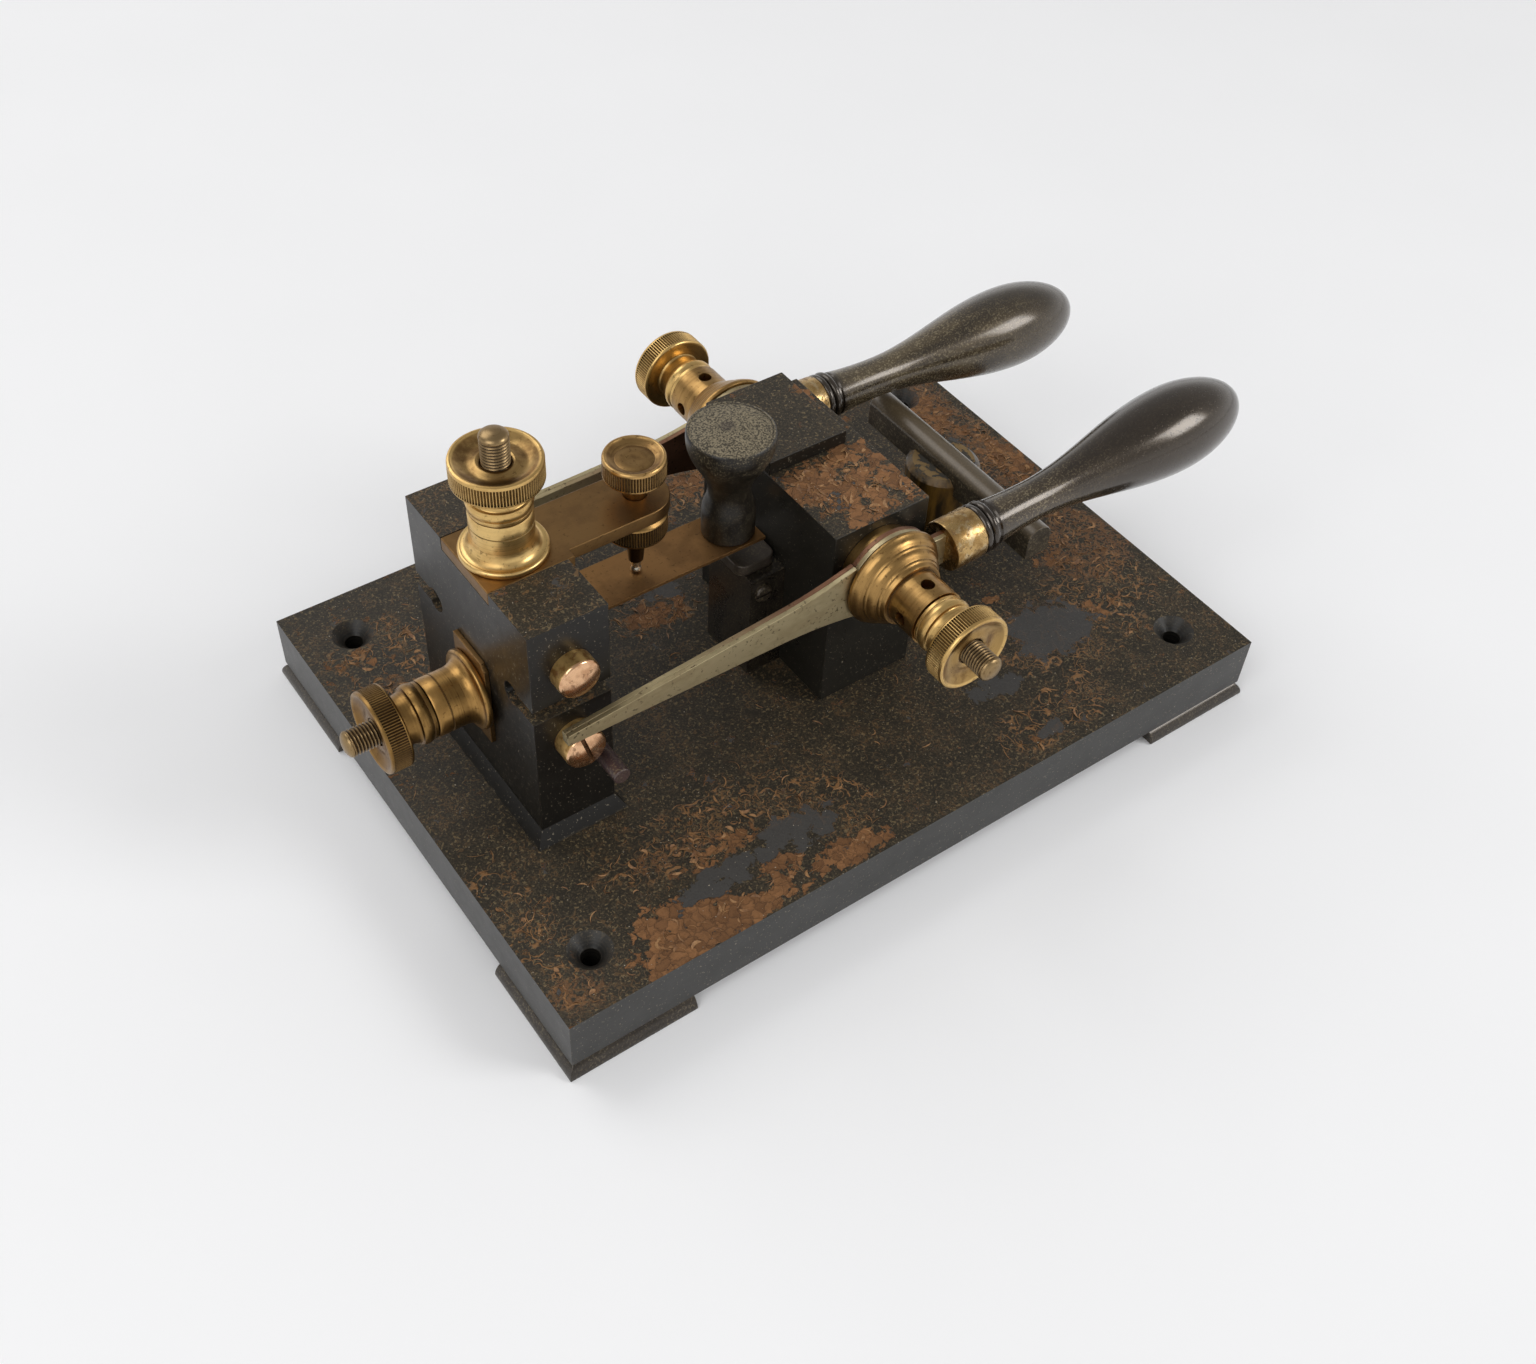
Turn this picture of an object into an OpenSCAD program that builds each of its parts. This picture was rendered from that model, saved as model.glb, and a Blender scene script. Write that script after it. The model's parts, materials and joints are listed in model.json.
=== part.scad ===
// Double-lever testing key: two pivoted hand levers and a spring push key on an ebonite base.
// X runs along the base towards the handles, Y to the back, Z up. Z = 0 is under the feet.

/* [Base] */
// Length of the base plate
base_l = 200; // [190:1:260]
// Width of the base plate
base_w = 139; // [125:1:200]
// Thickness of the base plate
base_t = 14.6; // [10:0.1:25]
// Distance of the screw holes from the ends of the base
hole_inset_x = 13.6; // [10:0.1:18]
// Distance of the screw holes from the sides of the base
hole_inset_y = 14.1; // [10:0.1:18]
// Bore of the four screw holes
screw_hole_d = 4.5; // [3:0.1:6]
// Diameter of the countersinks
countersink_d = 10.2; // [8:0.1:12]
// Length of a corner foot
foot_l = 32.4; // [28:0.1:40]
// Width of a corner foot
foot_w = 32.4; // [28:0.1:40]
// Height of a corner foot, also the radius of its rounded edge
foot_h = 4; // [3:0.1:6]
// How far a foot stands out past the sides of the base
foot_out = 1.2; // [0.5:0.1:2]

/* [Contact block] */
// Place of the contact block's centre along the base
contact_x = -70.6; // [-74:0.1:-66]
// Length of the contact block along the base
contact_l = 18.8; // [17:0.1:24]
// Width of the contact block across the base
contact_w = 50.4; // [46:0.1:50.6]
// Height of the contact block above the base
contact_h = 64.2; // [61:0.1:70]
// Height of the bevelled plinth
plinth_h = 4; // [2:0.1:6]
// How far the plinth stands out
plinth_out = 2.2; // [1:0.1:4]
// Diameter of the keyhole leakage slots' round end
keyhole_d = 6; // [4.5:0.1:7]
// Height of the leakage slots' kerf
kerf_h = 3.8; // [2:0.1:4]
// Distance of the keyhole slots from the centre plane
keyhole_y = 16.5; // [13:0.1:18]
// Height of the keyhole slots above the base
keyhole_z = 40.6; // [39.5:0.1:41.5]

/* [Bridge bar] */
// Thickness of the bridge bar
bridge_t = 3.3; // [2.5:0.1:5]
// Width of the bridge bar on the block
bridge_w = 19.6; // [19:0.1:23]
// Width of the bridge bar's arm
arm_w = 15; // [12:0.1:18]
// How far the wide part reaches past the block
bridge_shoulder = 1.7; // [0.5:0.1:4]
// Distance from the top terminal to the contact screw
arm_reach = 31.7; // [28:0.1:34]

/* [Contact screw] */
// Diameter of the contact screw's thread
contact_screw_d = 5; // [4:0.1:6]
// Diameter of the contact screw's head
contact_head_d = 13.7; // [11:0.1:16]
// Height of the contact screw's head
contact_head_h = 5.8; // [4:0.1:8]
// Clear neck between the bar and the head
contact_neck_h = 4.7; // [3:0.1:8]
// Diameter of the lock nut
lock_nut_d = 14.2; // [11:0.1:16]
// Height of the lock nut
lock_nut_h = 6.7; // [4:0.1:8]
// Diameter of the shank's lower end
shank_end_d = 3.4; // [3:0.1:4]
// Diameter of the silver contact tip
tip_d = 2.4; // [1.8:0.1:2.8]
// Length of the silver contact tip below the shank
tip_l = 3.4; // [2:0.1:4.5]

/* [Push key] */
// Height of the strip's upper face above the base
strip_z = 41.6; // [41:0.1:43]
// Width of the spring strip
strip_w = 13.2; // [11:0.1:16]
// Thickness of the spring strip
strip_t = 0.9; // [0.6:0.1:1.4]
// How far the strip enters the contact block
strip_tail = 3; // [2:0.1:4]
// Place of the knob's axis along the base
knob_x = -14.1; // [-18:0.1:-13.5]
// How far the strip reaches past the knob's axis
strip_overhang = 5.9; // [4:0.1:7]
// Height of the knob
knob_h = 29.9; // [26:0.1:34]
// Diameter of the knob's head
knob_head_d = 20; // [16:0.1:20.4]
// Diameter of the knob's waist
knob_waist_d = 9.8; // [9:0.1:12]
// Diameter of the knob's foot
knob_foot_d = 12.4; // [11:0.1:14]
// Height of the knob's straight foot
knob_foot_h = 6; // [3:0.1:8]
// Height of the waist above the strip
knob_waist_h = 12.3; // [10:0.1:15]
// Height of the knob's rim
knob_rim_h = 2.4; // [1.6:0.1:4]
// Crown of the knob's top
knob_crown = 0.8; // [0.3:0.1:1.5]
// Diameter of the screw that holds the knob
knob_screw_d = 4; // [3:0.1:5]
// Diameter of that screw's head
knob_screw_head_d = 7.6; // [6:0.1:9]
// Height of that screw's head
knob_screw_head_h = 1.6; // [1:0.1:2]

/* [Rest pillar] */
// Depth of the pillar in front of the lever block
pillar_l = 9.7; // [8:0.1:12]
// Width of the pillar
pillar_w = 17; // [14:0.1:22]
// Height of the rest plate's top above the base
rest_z = 33.7; // [28:0.1:34.5]
// Thickness of the rest plate
rest_t = 3; // [2:0.1:5]
// Length of the rest plate
rest_l = 10.6; // [9:0.1:12]
// Gap between the rest plate and the lever block
rest_back = 0.7; // [0.4:0.1:0.9]
// Width of the rest plate
rest_w = 12; // [10:0.1:14]
// Corner radius of the rest plate
rest_r = 2.5; // [1:0.1:4]
// Distance of the pillar screw below the pillar's top
pillar_screw_drop = 4.5; // [3:0.1:8]
// Diameter of the pillar screw's head
pillar_screw_d = 4.7; // [3.5:0.1:6]

/* [Lever block] */
// Place of the lever block's centre along the base
lever_block_x = 9.95; // [9:0.1:12]
// Length of the lever block along the base
lever_block_l = 26.5; // [25:0.1:28]
// Width of the lever block across the base
lever_block_w = 50.8; // [50:0.1:56]
// Height of the lever block above the base
lever_block_h = 52.6; // [50:0.1:56]
// Length of the raised plate on the block
top_plate_l = 21.9; // [16:0.1:26]
// Width of the raised plate on the block
top_plate_w = 25.7; // [20:0.1:40]
// Thickness of the raised plate
top_plate_t = 3.8; // [2:0.1:4.5]

/* [Levers] */
// Place of the pivots along the base
pivot_x = 8.9; // [7:0.1:11]
// Height of the pivots above the base
pivot_z = 40.2; // [39:0.1:41.5]
// Diameter of the boss between block and lever
boss_d = 20; // [16:0.1:23]
// Thickness of the boss
boss_t = 3.4; // [2:0.1:4]
// Thickness of one of a lever's two leaves
leaf_t = 1.15; // [0.8:0.05:1.6]
// Diameter of the ring at the pivot
ring_d = 23.6; // [22:0.1:26]
// Distance from the pivot to the blade's tip
tip_reach = 84.4; // [83:0.1:90]
// Height of the blade at its tip
tip_h = 2.9; // [2:0.1:4]
// Distance from the pivot to where the blade starts to flare
flare_x = 29.9; // [25:0.1:35]
// Height of the blade where the flare starts
flare_h = 8.7; // [7:0.1:10]
// Extra half height of the flare at the ring
flare_rise = 1.7; // [0.5:0.1:3]
// Height of the tongue that enters the ferrule
tongue_h = 8.6; // [6:0.1:9.5]
// Tilt of the rear lever away from its lower contact
rear_lift = 4.2; // [0:0.1:4.4]

/* [Handles] */
// Distance of the handle's axis outside the middle of the blade
handle_out = 0; // [0:0.1:1.5]
// Drop of the handle's axis below the lever's centre line
handle_drop = 0.9; // [0:0.1:1.5]
// Distance from the pivot to the ferrule
ferrule_x = 15.8; // [15.5:0.1:20]
// Length of the ferrule
ferrule_l = 9; // [8:0.1:13]
// Diameter of the ferrule
ferrule_d = 12.4; // [10:0.1:13]
// Depth of the slit that takes the tongue
slit_depth = 7.6; // [5:0.1:7.8]
// Diameter of the tang inside the handle
tang_d = 4; // [3:0.1:5]
// Length of the tang
tang_l = 18; // [10:0.1:24]
// Diameter of the handle's two beads
bead_d = 12.4; // [10:0.1:13]
// Width of one bead
bead_w = 2; // [1.5:0.1:3]
// Diameter of the handle's neck
neck_d = 9.8; // [8:0.1:10]
// Distance from the ferrule's end to the thinnest place
neck_x = 18; // [8:0.1:24]
// Distance from the ferrule's end to the thickest place
bulge_x = 62.8; // [55:0.1:75]
// Diameter of the handle at its thickest
bulge_d = 21.4; // [17:0.1:24]
// Length of the handle
handle_l = 84.6; // [78:0.1:95]

/* [Terminals] */
// Diameter of the terminal studs
stud_d = 6.1; // [5:0.1:6.5]
// Free end of a stud above its nut
stud_free = 6.5; // [4:0.1:9]
// Depth of a stud inside its block
stud_root = 12; // [8:0.1:14]
// Diameter of a small terminal's flange
flange_d = 19; // [16:0.1:22]
// Height of a small terminal's flange
flange_h = 4.5; // [3:0.1:6]
// Diameter of a small terminal's body
post_body_d = 13.5; // [11:0.1:15]
// Height of a small terminal's body above the flange
post_body_h = 6.8; // [4:0.1:12]
// Diameter of a nut's hub
nut_hub_d = 14; // [11:0.1:16]
// Height of a nut's hub
nut_hub_h = 7.3; // [5:0.1:10]
// Diameter of a nut's neck below the knurled disc
nut_neck_d = 11.6; // [9:0.1:12]
// Diameter of the knurled disc
nut_d = 19.2; // [16:0.1:22]
// Height of the knurled disc
nut_h = 5.5; // [4:0.1:8]
// Step between a nut's band and its cove
nut_step = 0.5; // [0.2:0.1:1]
// Depth of the dished face of a disc
dish = 0.9; // [0.3:0.1:1.5]
// Height of the left terminal above the base
left_terminal_z = 28.2; // [22:0.1:32]
// Width of the left terminal's plate
side_plate_w = 13.4; // [11:0.1:18]
// Height of the left terminal's plate
side_plate_h = 24; // [20:0.1:28]
// Thickness of the left terminal's plate
side_plate_t = 1.2; // [0.8:0.1:2]
// Radius of the notch in the plate's corner
side_notch_r = 1.4; // [0.8:0.1:2]

/* [Lever terminals] */
// Diameter of a lever terminal's flange
pivot_flange_d = 25; // [22:0.1:28]
// Height of one step of that flange
pivot_step_h = 2.6; // [1.5:0.1:3]
// Diameter of the spigot that the lever turns on
spigot_d = 10; // [9:0.1:12]
// Diameter of a lever terminal's body
pivot_body_d = 14; // [13:0.1:16]
// Length of a lever terminal's body beyond its flange
pivot_body_h = 8.5; // [6:0.1:12]
// Diameter of the tommy holes
tommy_d = 3.2; // [2:0.1:3.5]
// Depth of the tommy holes
tommy_depth = 2.6; // [1.5:0.1:2.8]

/* [Contacts] */
// Diameter of the contact studs
contact_d = 9.7; // [8:0.1:11]
// Height of the upper contacts above the base
upper_z = 50.9; // [50:0.1:54]
// Height of the lower contacts above the base
lower_z = 30; // [28:0.1:31.5]
// How far an upper contact stands out of the block
upper_out = 5; // [3.5:0.1:6]
// How far a lower contact stands out of the block
lower_out = 6.2; // [4:0.1:7]
// Diameter of a contact's shank
contact_shank_d = 4; // [3:0.1:4.5]
// Depth of a contact's shank in the block
contact_shank_l = 7; // [5:0.1:8]
// Rounding of the contacts' edge
contact_round = 0.8; // [0.3:0.1:1.5]
// Width of the screwdriver slots
slot_w = 1; // [0.6:0.1:1.4]
// Depth of the screwdriver slots
slot_depth = 1; // [0.5:0.1:1.4]
// Diameter of the guard pegs
peg_d = 4.1; // [3:0.1:5]
// Height of the guard pegs above the base
peg_z = 22.3; // [20:0.1:23]
// Distance of the guard pegs from the block's right face
peg_inset = 3.7; // [3:0.1:5]
// How far a guard peg stands out of the block
peg_out = 9.8; // [5:0.1:12]
// Depth of a guard peg in the block
peg_root = 7; // [5:0.1:9]

/* [Rest bar] */
// Place of the rest bar along the base
rest_bar_x = 56.4; // [50:0.1:62]
// Width of the rest bar
rest_bar_w = 7.3; // [5:0.1:9]
// Length of the rest bar across the base
rest_bar_l = 62.4; // [60:0.1:74]
// Height of the bar's lower face above the base
rest_bar_z = 22.3; // [15:0.1:25]
// Rise of the bar's rounded top
rest_bar_rise = 2.5; // [1:0.1:2.6]
// Place of the post across the base
post_y = 5; // [-6:0.1:6]
// Diameter of the post
post_d = 18.9; // [15:0.1:24]
// Height of the post's cheeks above the slot's floor
post_cheek_h = 4.4; // [3:0.1:6]
// Chamfer of the post's top edge
post_chamfer = 1.5; // [0.5:0.1:2]

/* [Fixings] */
// Diameter of the screws from beneath
fixing_d = 4.8; // [4:0.1:6]
// Depth of those screws above the base
fixing_reach = 12; // [8:0.1:14]
// Diameter of their heads
fixing_head_d = 9; // [8:0.1:11]
// Height of their heads
fixing_head_h = 3.2; // [2:0.1:4]
// Distance of the block screws from the centre plane
fixing_y = 14; // [11:0.1:18]

/* [Fits] */
// Clearance round fixed pieces in their seats
fit_gap = 0.05; // [0.02:0.01:0.1]
// Radial clearance of turning pieces
run_gap = 0.05; // [0.02:0.01:0.1]
// Axial play of a lever beside its boss and flange
lever_play = 0.06; // [0.03:0.01:0.2]
// Gap left where moving pieces come to rest
stop_gap = 0.25; // [0.1:0.05:0.5]

/* [Hidden] */
$fn = 64;
front = -1;
rear = 1;
eps = 0.5;
flare_step = 2;
brass = "#a57d3c";
dark_brass = "#6e5a36";
nickel = "#969178";
rosy = "#be8c64";
silver = "#c9c6bd";
ebonite = "#2e2823";
black = "#1f1b18";
fibre = "#3a2630";

top = foot_h + base_t;
contact_left = contact_x - contact_l / 2;
contact_right = contact_x + contact_l / 2;
block_left = lever_block_x - lever_block_l / 2;
bridge_z = contact_h - bridge_t;
contact_screw_x = contact_x + arm_reach;
strip_end = knob_x + strip_overhang;
strip_under = strip_z - strip_t;
contact_bore = contact_screw_d / 2 + run_gap;
stud_bore = stud_d / 2 + fit_gap;
nut_bore = stud_d / 2 + run_gap;
peg_x = contact_right - peg_inset;

// Depth positions of a lever, measured outwards from the centre plane.
boss_y = lever_block_w / 2;
leaf_y = boss_y + boss_t + lever_play;
flange_y = leaf_y + 2 * leaf_t + lever_play;
blade_mid_y = leaf_y + leaf_t;
handle_y = blade_mid_y + handle_out;
pivot_step_r = (pivot_flange_d - pivot_body_d) / 6;

// Straight edge of the blade: its slope and its distance from the pivot.
blade_slope = atan((flare_h - tip_h) / 2 / (tip_reach - flare_x));
blade_off = tip_reach * sin(blade_slope) + tip_h / 2 * cos(blade_slope);

// Tilt at which a blade's edge stops just short of a contact, seen from the pivot.
function stop_angle(dz) =
    let (dx = pivot_x - contact_x, span = norm([dx, dz]))
    90 - blade_slope - atan(dz / dx) - acos((blade_off + contact_d / 2 + stop_gap) / span);
low_tilt = -stop_angle(pivot_z - lower_z);
high_tilt = stop_angle(upper_z - pivot_z);
rest_tilt_front = low_tilt;
rest_tilt_rear = low_tilt - rear_lift;

// The rest bar ends just below the handles at their lowest.
bar_arm = rest_bar_x - pivot_x + rest_bar_w / 2;
bar_handle_r = handle_r(bar_arm - ferrule_x - ferrule_l);
rest_bar_top = pivot_z - handle_drop + bar_arm * sin(high_tilt) - bar_handle_r - 2 * stop_gap;

// Half height of the blade at a distance from the pivot.
function blade_half(x) =
    tip_h / 2 + (tip_reach - x) * tan(blade_slope)
    + (x < flare_x ? flare_rise * pow((flare_x - x) / (flare_x - ring_d / 2), 2) : 0);

// Smooth step from 0 to 1.
function ease(t) = (1 - cos(180 * t)) / 2;

// Radius of the handle at a distance from the ferrule's end.
function handle_r(x) =
    x < neck_x ? neck_d / 2 + (bead_d - neck_d) / 2 * pow((neck_x - x) / neck_x, 2)
    : x < bulge_x ? neck_d / 2 + (bulge_d - neck_d) / 2 * ease((x - neck_x) / (bulge_x - neck_x))
    : bulge_d / 2 * sqrt(max(0, 1 - pow((x - bulge_x) / (handle_l - bulge_x), 2)));

// Points of an arc from angle a to angle b.
function arc(x, z, r, a, b, steps = 8) =
    [for (i = [0:steps]) let (t = a + (b - a) * i / steps)
        [x + r * cos(t), z + r * sin(t)]];

// Points of a smooth swell from one radius and height to another, after its first point.
function swell(r0, z0, r1, z1, steps = 10) =
    [for (i = [1:steps]) [r0 + (r1 - r0) * ease(i / steps), z0 + (z1 - z0) * i / steps]];

// Points of a concave quarter curve from one radius and height to another.
function cove(r0, z0, r1, z1, steps = 10) =
    [for (i = [0:steps]) let (t = 90 * i / steps)
        [r0 + (r1 - r0) * sin(t), z0 + (z1 - z0) * (1 - cos(t))]];

// Placing helpers

module on_base() {
    translate([0, 0, top]) children();
}

module on_side(side) {
    if (side == rear) children();
    if (side == front) mirror([0, 1, 0]) children();
}

module both_sides() {
    on_side(front) children();
    on_side(rear) children();
}

module facing_out(x, y, z) {
    translate([x, y, z]) rotate([-90, 0, 0]) children();
}

module at_pivot(side) {
    on_base() on_side(side) translate([pivot_x, 0, pivot_z]) children();
}

module at_lever(side, tilt) {
    at_pivot(side) rotate([0, -tilt, 0]) children();
}

module at_left_terminal() {
    on_base() translate([contact_left - side_plate_t, 0, left_terminal_z]) rotate([0, -90, 0]) children();
}

module at_top_terminal() {
    on_base() translate([contact_x, 0, contact_h]) children();
}

module at_contact_screw() {
    on_base() translate([contact_screw_x, 0, contact_h]) children();
}

module at_knob() {
    on_base() translate([knob_x, 0, strip_z]) children();
}

module at_holes() {
    for (x = [-1, 1], y = [-1, 1])
        translate([x * (base_l / 2 - hole_inset_x), y * (base_w / 2 - hole_inset_y), 0]) children();
}

module at_fixings() {
    for (y = [-1, 1]) {
        translate([contact_x, y * fixing_y, 0]) children();
        translate([lever_block_x, y * fixing_y, 0]) children();
    }
    translate([block_left - pillar_l / 2, 0, 0]) children();
    translate([rest_bar_x, post_y, 0]) children();
}

// Shape helpers

module block(l, w, h) {
    translate([-l / 2, -w / 2, 0]) cube([l, w, h]);
}

module bevel_profile(w, h, out) {
    polygon([[-w / 2 - out, 0], [w / 2 + out, 0], [w / 2, h], [-w / 2, h]]);
}

module bevelled_plinth(l, w, h, out) {
    intersection() {
        translate([0, w, 0]) rotate([90, 0, 0]) linear_extrude(2 * w) bevel_profile(l, h, out);
        translate([-l, 0, 0]) rotate([90, 0, 90]) linear_extrude(2 * l) bevel_profile(w, h, out);
    }
}

// A blind hole that goes down from the mouth at Z = 0.
module drill(r, depth) {
    translate([0, 0, -depth]) cylinder(r = r, h = depth + eps);
}

// A hole right through a plate that stands on Z = 0.
module pierce(r, h) {
    translate([0, 0, -eps]) cylinder(r = r, h = h + 2 * eps);
}

module fixing_hole() {
    head_h = fixing_head_h + fit_gap;
    translate([0, 0, -eps]) cylinder(r = fixing_d / 2 + fit_gap, h = top + fixing_reach + eps);
    translate([0, 0, foot_h - eps]) cylinder(r = fixing_head_d / 2 + fit_gap, h = head_h + eps);
}

module domed_rod(d, l) {
    r = d / 2;
    dome = r / 3;
    rotate_extrude() polygon(concat([[0, 0], [r, 0], [r, l - dome]], cove(r, l - dome, 0, l), [[0, l]]));
}

module rounded_head(d, h, round) {
    r = d / 2;
    rotate_extrude() polygon(concat([[0, 0], [r, 0]], arc(r - round, h - round, round, 0, 90), [[0, h]]));
}

module slot_cut(d, h) {
    translate([-d, -slot_w / 2, h - slot_depth]) cube([2 * d, slot_w, slot_depth + eps]);
}

// Small terminals on the bar and on the block's left face

module terminal_body() {
    r = post_body_d / 2;
    edge = flange_h / 3;
    rotate_extrude() polygon(concat(
        [[stud_bore, 0], [flange_d / 2, 0], [flange_d / 2, edge]],
        cove(flange_d / 2 - edge / 2, edge, r, flange_h),
        [[r, flange_h + post_body_h], [stud_bore, flange_h + post_body_h]]));
}

module terminal_nut() {
    hub = nut_hub_d / 2;
    band = nut_hub_h / 2;
    disc = nut_d / 2;
    rim = disc - dish;
    boss = nut_bore + dish;
    bowl = nut_h / 4;
    total = nut_hub_h + nut_h;
    rotate_extrude() polygon(concat(
        [[nut_bore, 0]],
        [for (t = [-90:30:60]) [hub - nut_step + nut_step * cos(t), band * (1 + sin(t)) / 2]],
        cove(hub - nut_step, band, nut_neck_d / 2, nut_hub_h),
        [[disc, nut_hub_h], [disc, total]],
        [for (t = [0:15:150]) [rim + (boss - rim) * t / 150, total - bowl * sin(t)]],
        [[nut_bore, total - bowl / 2]]));
}

module terminal_stud(above) {
    translate([0, 0, -stud_root]) domed_rod(stud_d, stud_root + above);
}

small_nut_z = flange_h + post_body_h + stop_gap;
small_stud_l = small_nut_z + nut_hub_h + nut_h + stud_free;

module top_terminal_body() {
    color(brass) at_top_terminal() terminal_body();
}

module top_terminal_stud() {
    color(dark_brass) at_top_terminal() terminal_stud(small_stud_l);
}

module top_terminal_nut() {
    color(brass) at_top_terminal() translate([0, 0, small_nut_z]) terminal_nut();
}

module left_terminal_plate() {
    color(brass) on_base() difference() {
        translate([contact_left - side_plate_t, -side_plate_w / 2, left_terminal_z - side_plate_h / 2])
            cube([side_plate_t, side_plate_w, side_plate_h]);
        translate([contact_left - side_plate_t, 0, left_terminal_z]) rotate([0, 90, 0]) {
            pierce(stud_bore, side_plate_t);
            translate([-side_plate_h / 2, -side_plate_w / 2, 0]) pierce(side_notch_r, side_plate_t);
        }
    }
}

module left_terminal_body() {
    color(brass) at_left_terminal() terminal_body();
}

module left_terminal_stud() {
    color(dark_brass) at_left_terminal() terminal_stud(small_stud_l);
}

module left_terminal_nut() {
    color(brass) at_left_terminal() translate([0, 0, small_nut_z]) terminal_nut();
}

// Base and feet

module base_plate() {
    color(ebonite) difference() {
        translate([0, 0, foot_h]) block(base_l, base_w, base_t);
        at_holes() {
            cylinder(d = screw_hole_d, h = top + eps);
            translate([0, 0, top - (countersink_d - screw_hole_d) / 2])
                cylinder(d1 = screw_hole_d, d2 = countersink_d, h = (countersink_d - screw_hole_d) / 2);
            translate([0, 0, top]) cylinder(d = countersink_d, h = eps);
        }
        at_fixings() fixing_hole();
    }
}

module foot_profile(w) {
    intersection() {
        translate([-w, 0]) square([w, foot_h]);
        union() {
            translate([-w, 0]) square([w - foot_h, foot_h]);
            translate([-foot_h, 0]) circle(r = foot_h);
        }
    }
}

module corner_foot() {
    intersection() {
        translate([0, eps, 0]) rotate([90, 0, 0]) linear_extrude(foot_w + 2 * eps) foot_profile(foot_l);
        translate([eps, 0, 0]) rotate([90, 0, -90]) linear_extrude(foot_l + 2 * eps)
            mirror([1, 0]) foot_profile(foot_w);
    }
}

module corner_feet() {
    color(black) difference() {
        for (x = [0, 1], y = [0, 1])
            mirror([x, 0, 0]) mirror([0, y, 0])
                translate([base_l / 2 + foot_out, base_w / 2 + foot_out, 0]) corner_foot();
        at_holes() pierce(screw_hole_d / 2, foot_h);
    }
}

// Contact block and what it carries

module keyhole_slot() {
    translate([contact_left, keyhole_y, keyhole_z]) {
        rotate([0, 90, 0]) pierce(keyhole_d / 2, contact_l);
        translate([-eps, 0, -kerf_h / 2]) cube([contact_l + 2 * eps, contact_w, kerf_h]);
    }
}

module contact_holes() {
    shank_r = contact_shank_d / 2 + fit_gap;
    for (z = [upper_z, lower_z])
        facing_out(contact_x, contact_w / 2, z) drill(shank_r, contact_shank_l + fit_gap);
    facing_out(peg_x, contact_w / 2, peg_z) drill(peg_d / 2 + fit_gap, peg_root + fit_gap);
}

module contact_block() {
    dado = bridge_w + 2 * fit_gap;
    pocket_l = strip_tail + stop_gap;
    pocket_w = strip_w + 2 * stop_gap;
    pocket_h = strip_t + 3 * stop_gap;
    color(ebonite) difference() {
        on_base() translate([contact_x, 0, 0]) {
            block(contact_l, contact_w, contact_h);
            bevelled_plinth(contact_l, contact_w, plinth_h, plinth_out);
        }
        on_base() {
            translate([contact_x, 0, bridge_z]) block(contact_l + 2 * eps, dado, bridge_t + eps);
            both_sides() keyhole_slot();
            both_sides() contact_holes();
            translate([contact_right - pocket_l, -pocket_w / 2, strip_under - stop_gap])
                cube([pocket_l + eps, pocket_w, pocket_h]);
        }
        at_top_terminal() drill(stud_bore, stud_root + fit_gap);
        at_left_terminal() drill(stud_bore, stud_root + fit_gap);
        at_fixings() fixing_hole();
    }
}

module bridge_bar() {
    wide_l = contact_l + bridge_shoulder;
    color(brass) difference() {
        on_base() translate([0, 0, bridge_z]) {
            translate([contact_left, -bridge_w / 2, 0]) cube([wide_l, bridge_w, bridge_t]);
            translate([contact_x, -arm_w / 2, 0]) cube([arm_reach, arm_w, bridge_t]);
            translate([contact_screw_x, 0, 0]) cylinder(d = arm_w, h = bridge_t);
        }
        at_top_terminal() drill(stud_bore, bridge_t + eps);
        at_contact_screw() drill(contact_bore, bridge_t + eps);
    }
}

module contact_stud(out, slotted) {
    inner_y = contact_w / 2;
    difference() {
        union() {
            facing_out(0, inner_y, 0) rounded_head(contact_d, out, contact_round);
            facing_out(0, inner_y - contact_shank_l, 0) cylinder(d = contact_shank_d, h = contact_shank_l);
        }
        if (slotted) facing_out(0, inner_y, 0) rotate(60) slot_cut(contact_d, out);
    }
}

module upper_contacts() {
    color(rosy) on_base() both_sides() translate([contact_x, 0, upper_z]) contact_stud(upper_out, false);
}

module lower_contacts() {
    color(rosy) on_base() both_sides() translate([contact_x, 0, lower_z]) contact_stud(lower_out, true);
}

module guard_pegs() {
    color(fibre) on_base() both_sides()
        facing_out(peg_x, contact_w / 2 - peg_root, peg_z) cylinder(d = peg_d, h = peg_root + peg_out);
}

// Contact screw at the end of the bridge bar

shank_top = -bridge_t - lock_nut_h - stop_gap;
shank_end = strip_z + tip_l + stop_gap - contact_h;

module contact_screw() {
    r = contact_screw_d / 2;
    head = contact_head_d / 2;
    neck_top = contact_neck_h;
    head_top = contact_neck_h + contact_head_h;
    color(brass) difference() {
        at_contact_screw() rotate_extrude() polygon([
            [0, shank_end], [shank_end_d / 2, shank_end], [r, shank_top], [r, neck_top],
            [head - dish, neck_top], [head, neck_top + dish], [head, head_top],
            [head - dish, head_top], [r, head_top - dish], [0, head_top - dish]]);
        at_contact_screw() translate([0, 0, shank_end - eps])
            cylinder(r = tip_d / 2 + fit_gap, h = tip_l + eps);
    }
}

module contact_tip() {
    color(silver) at_contact_screw() translate([0, 0, shank_end - tip_l])
        cylinder(d = tip_d, h = 2 * tip_l - fit_gap);
}

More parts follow.
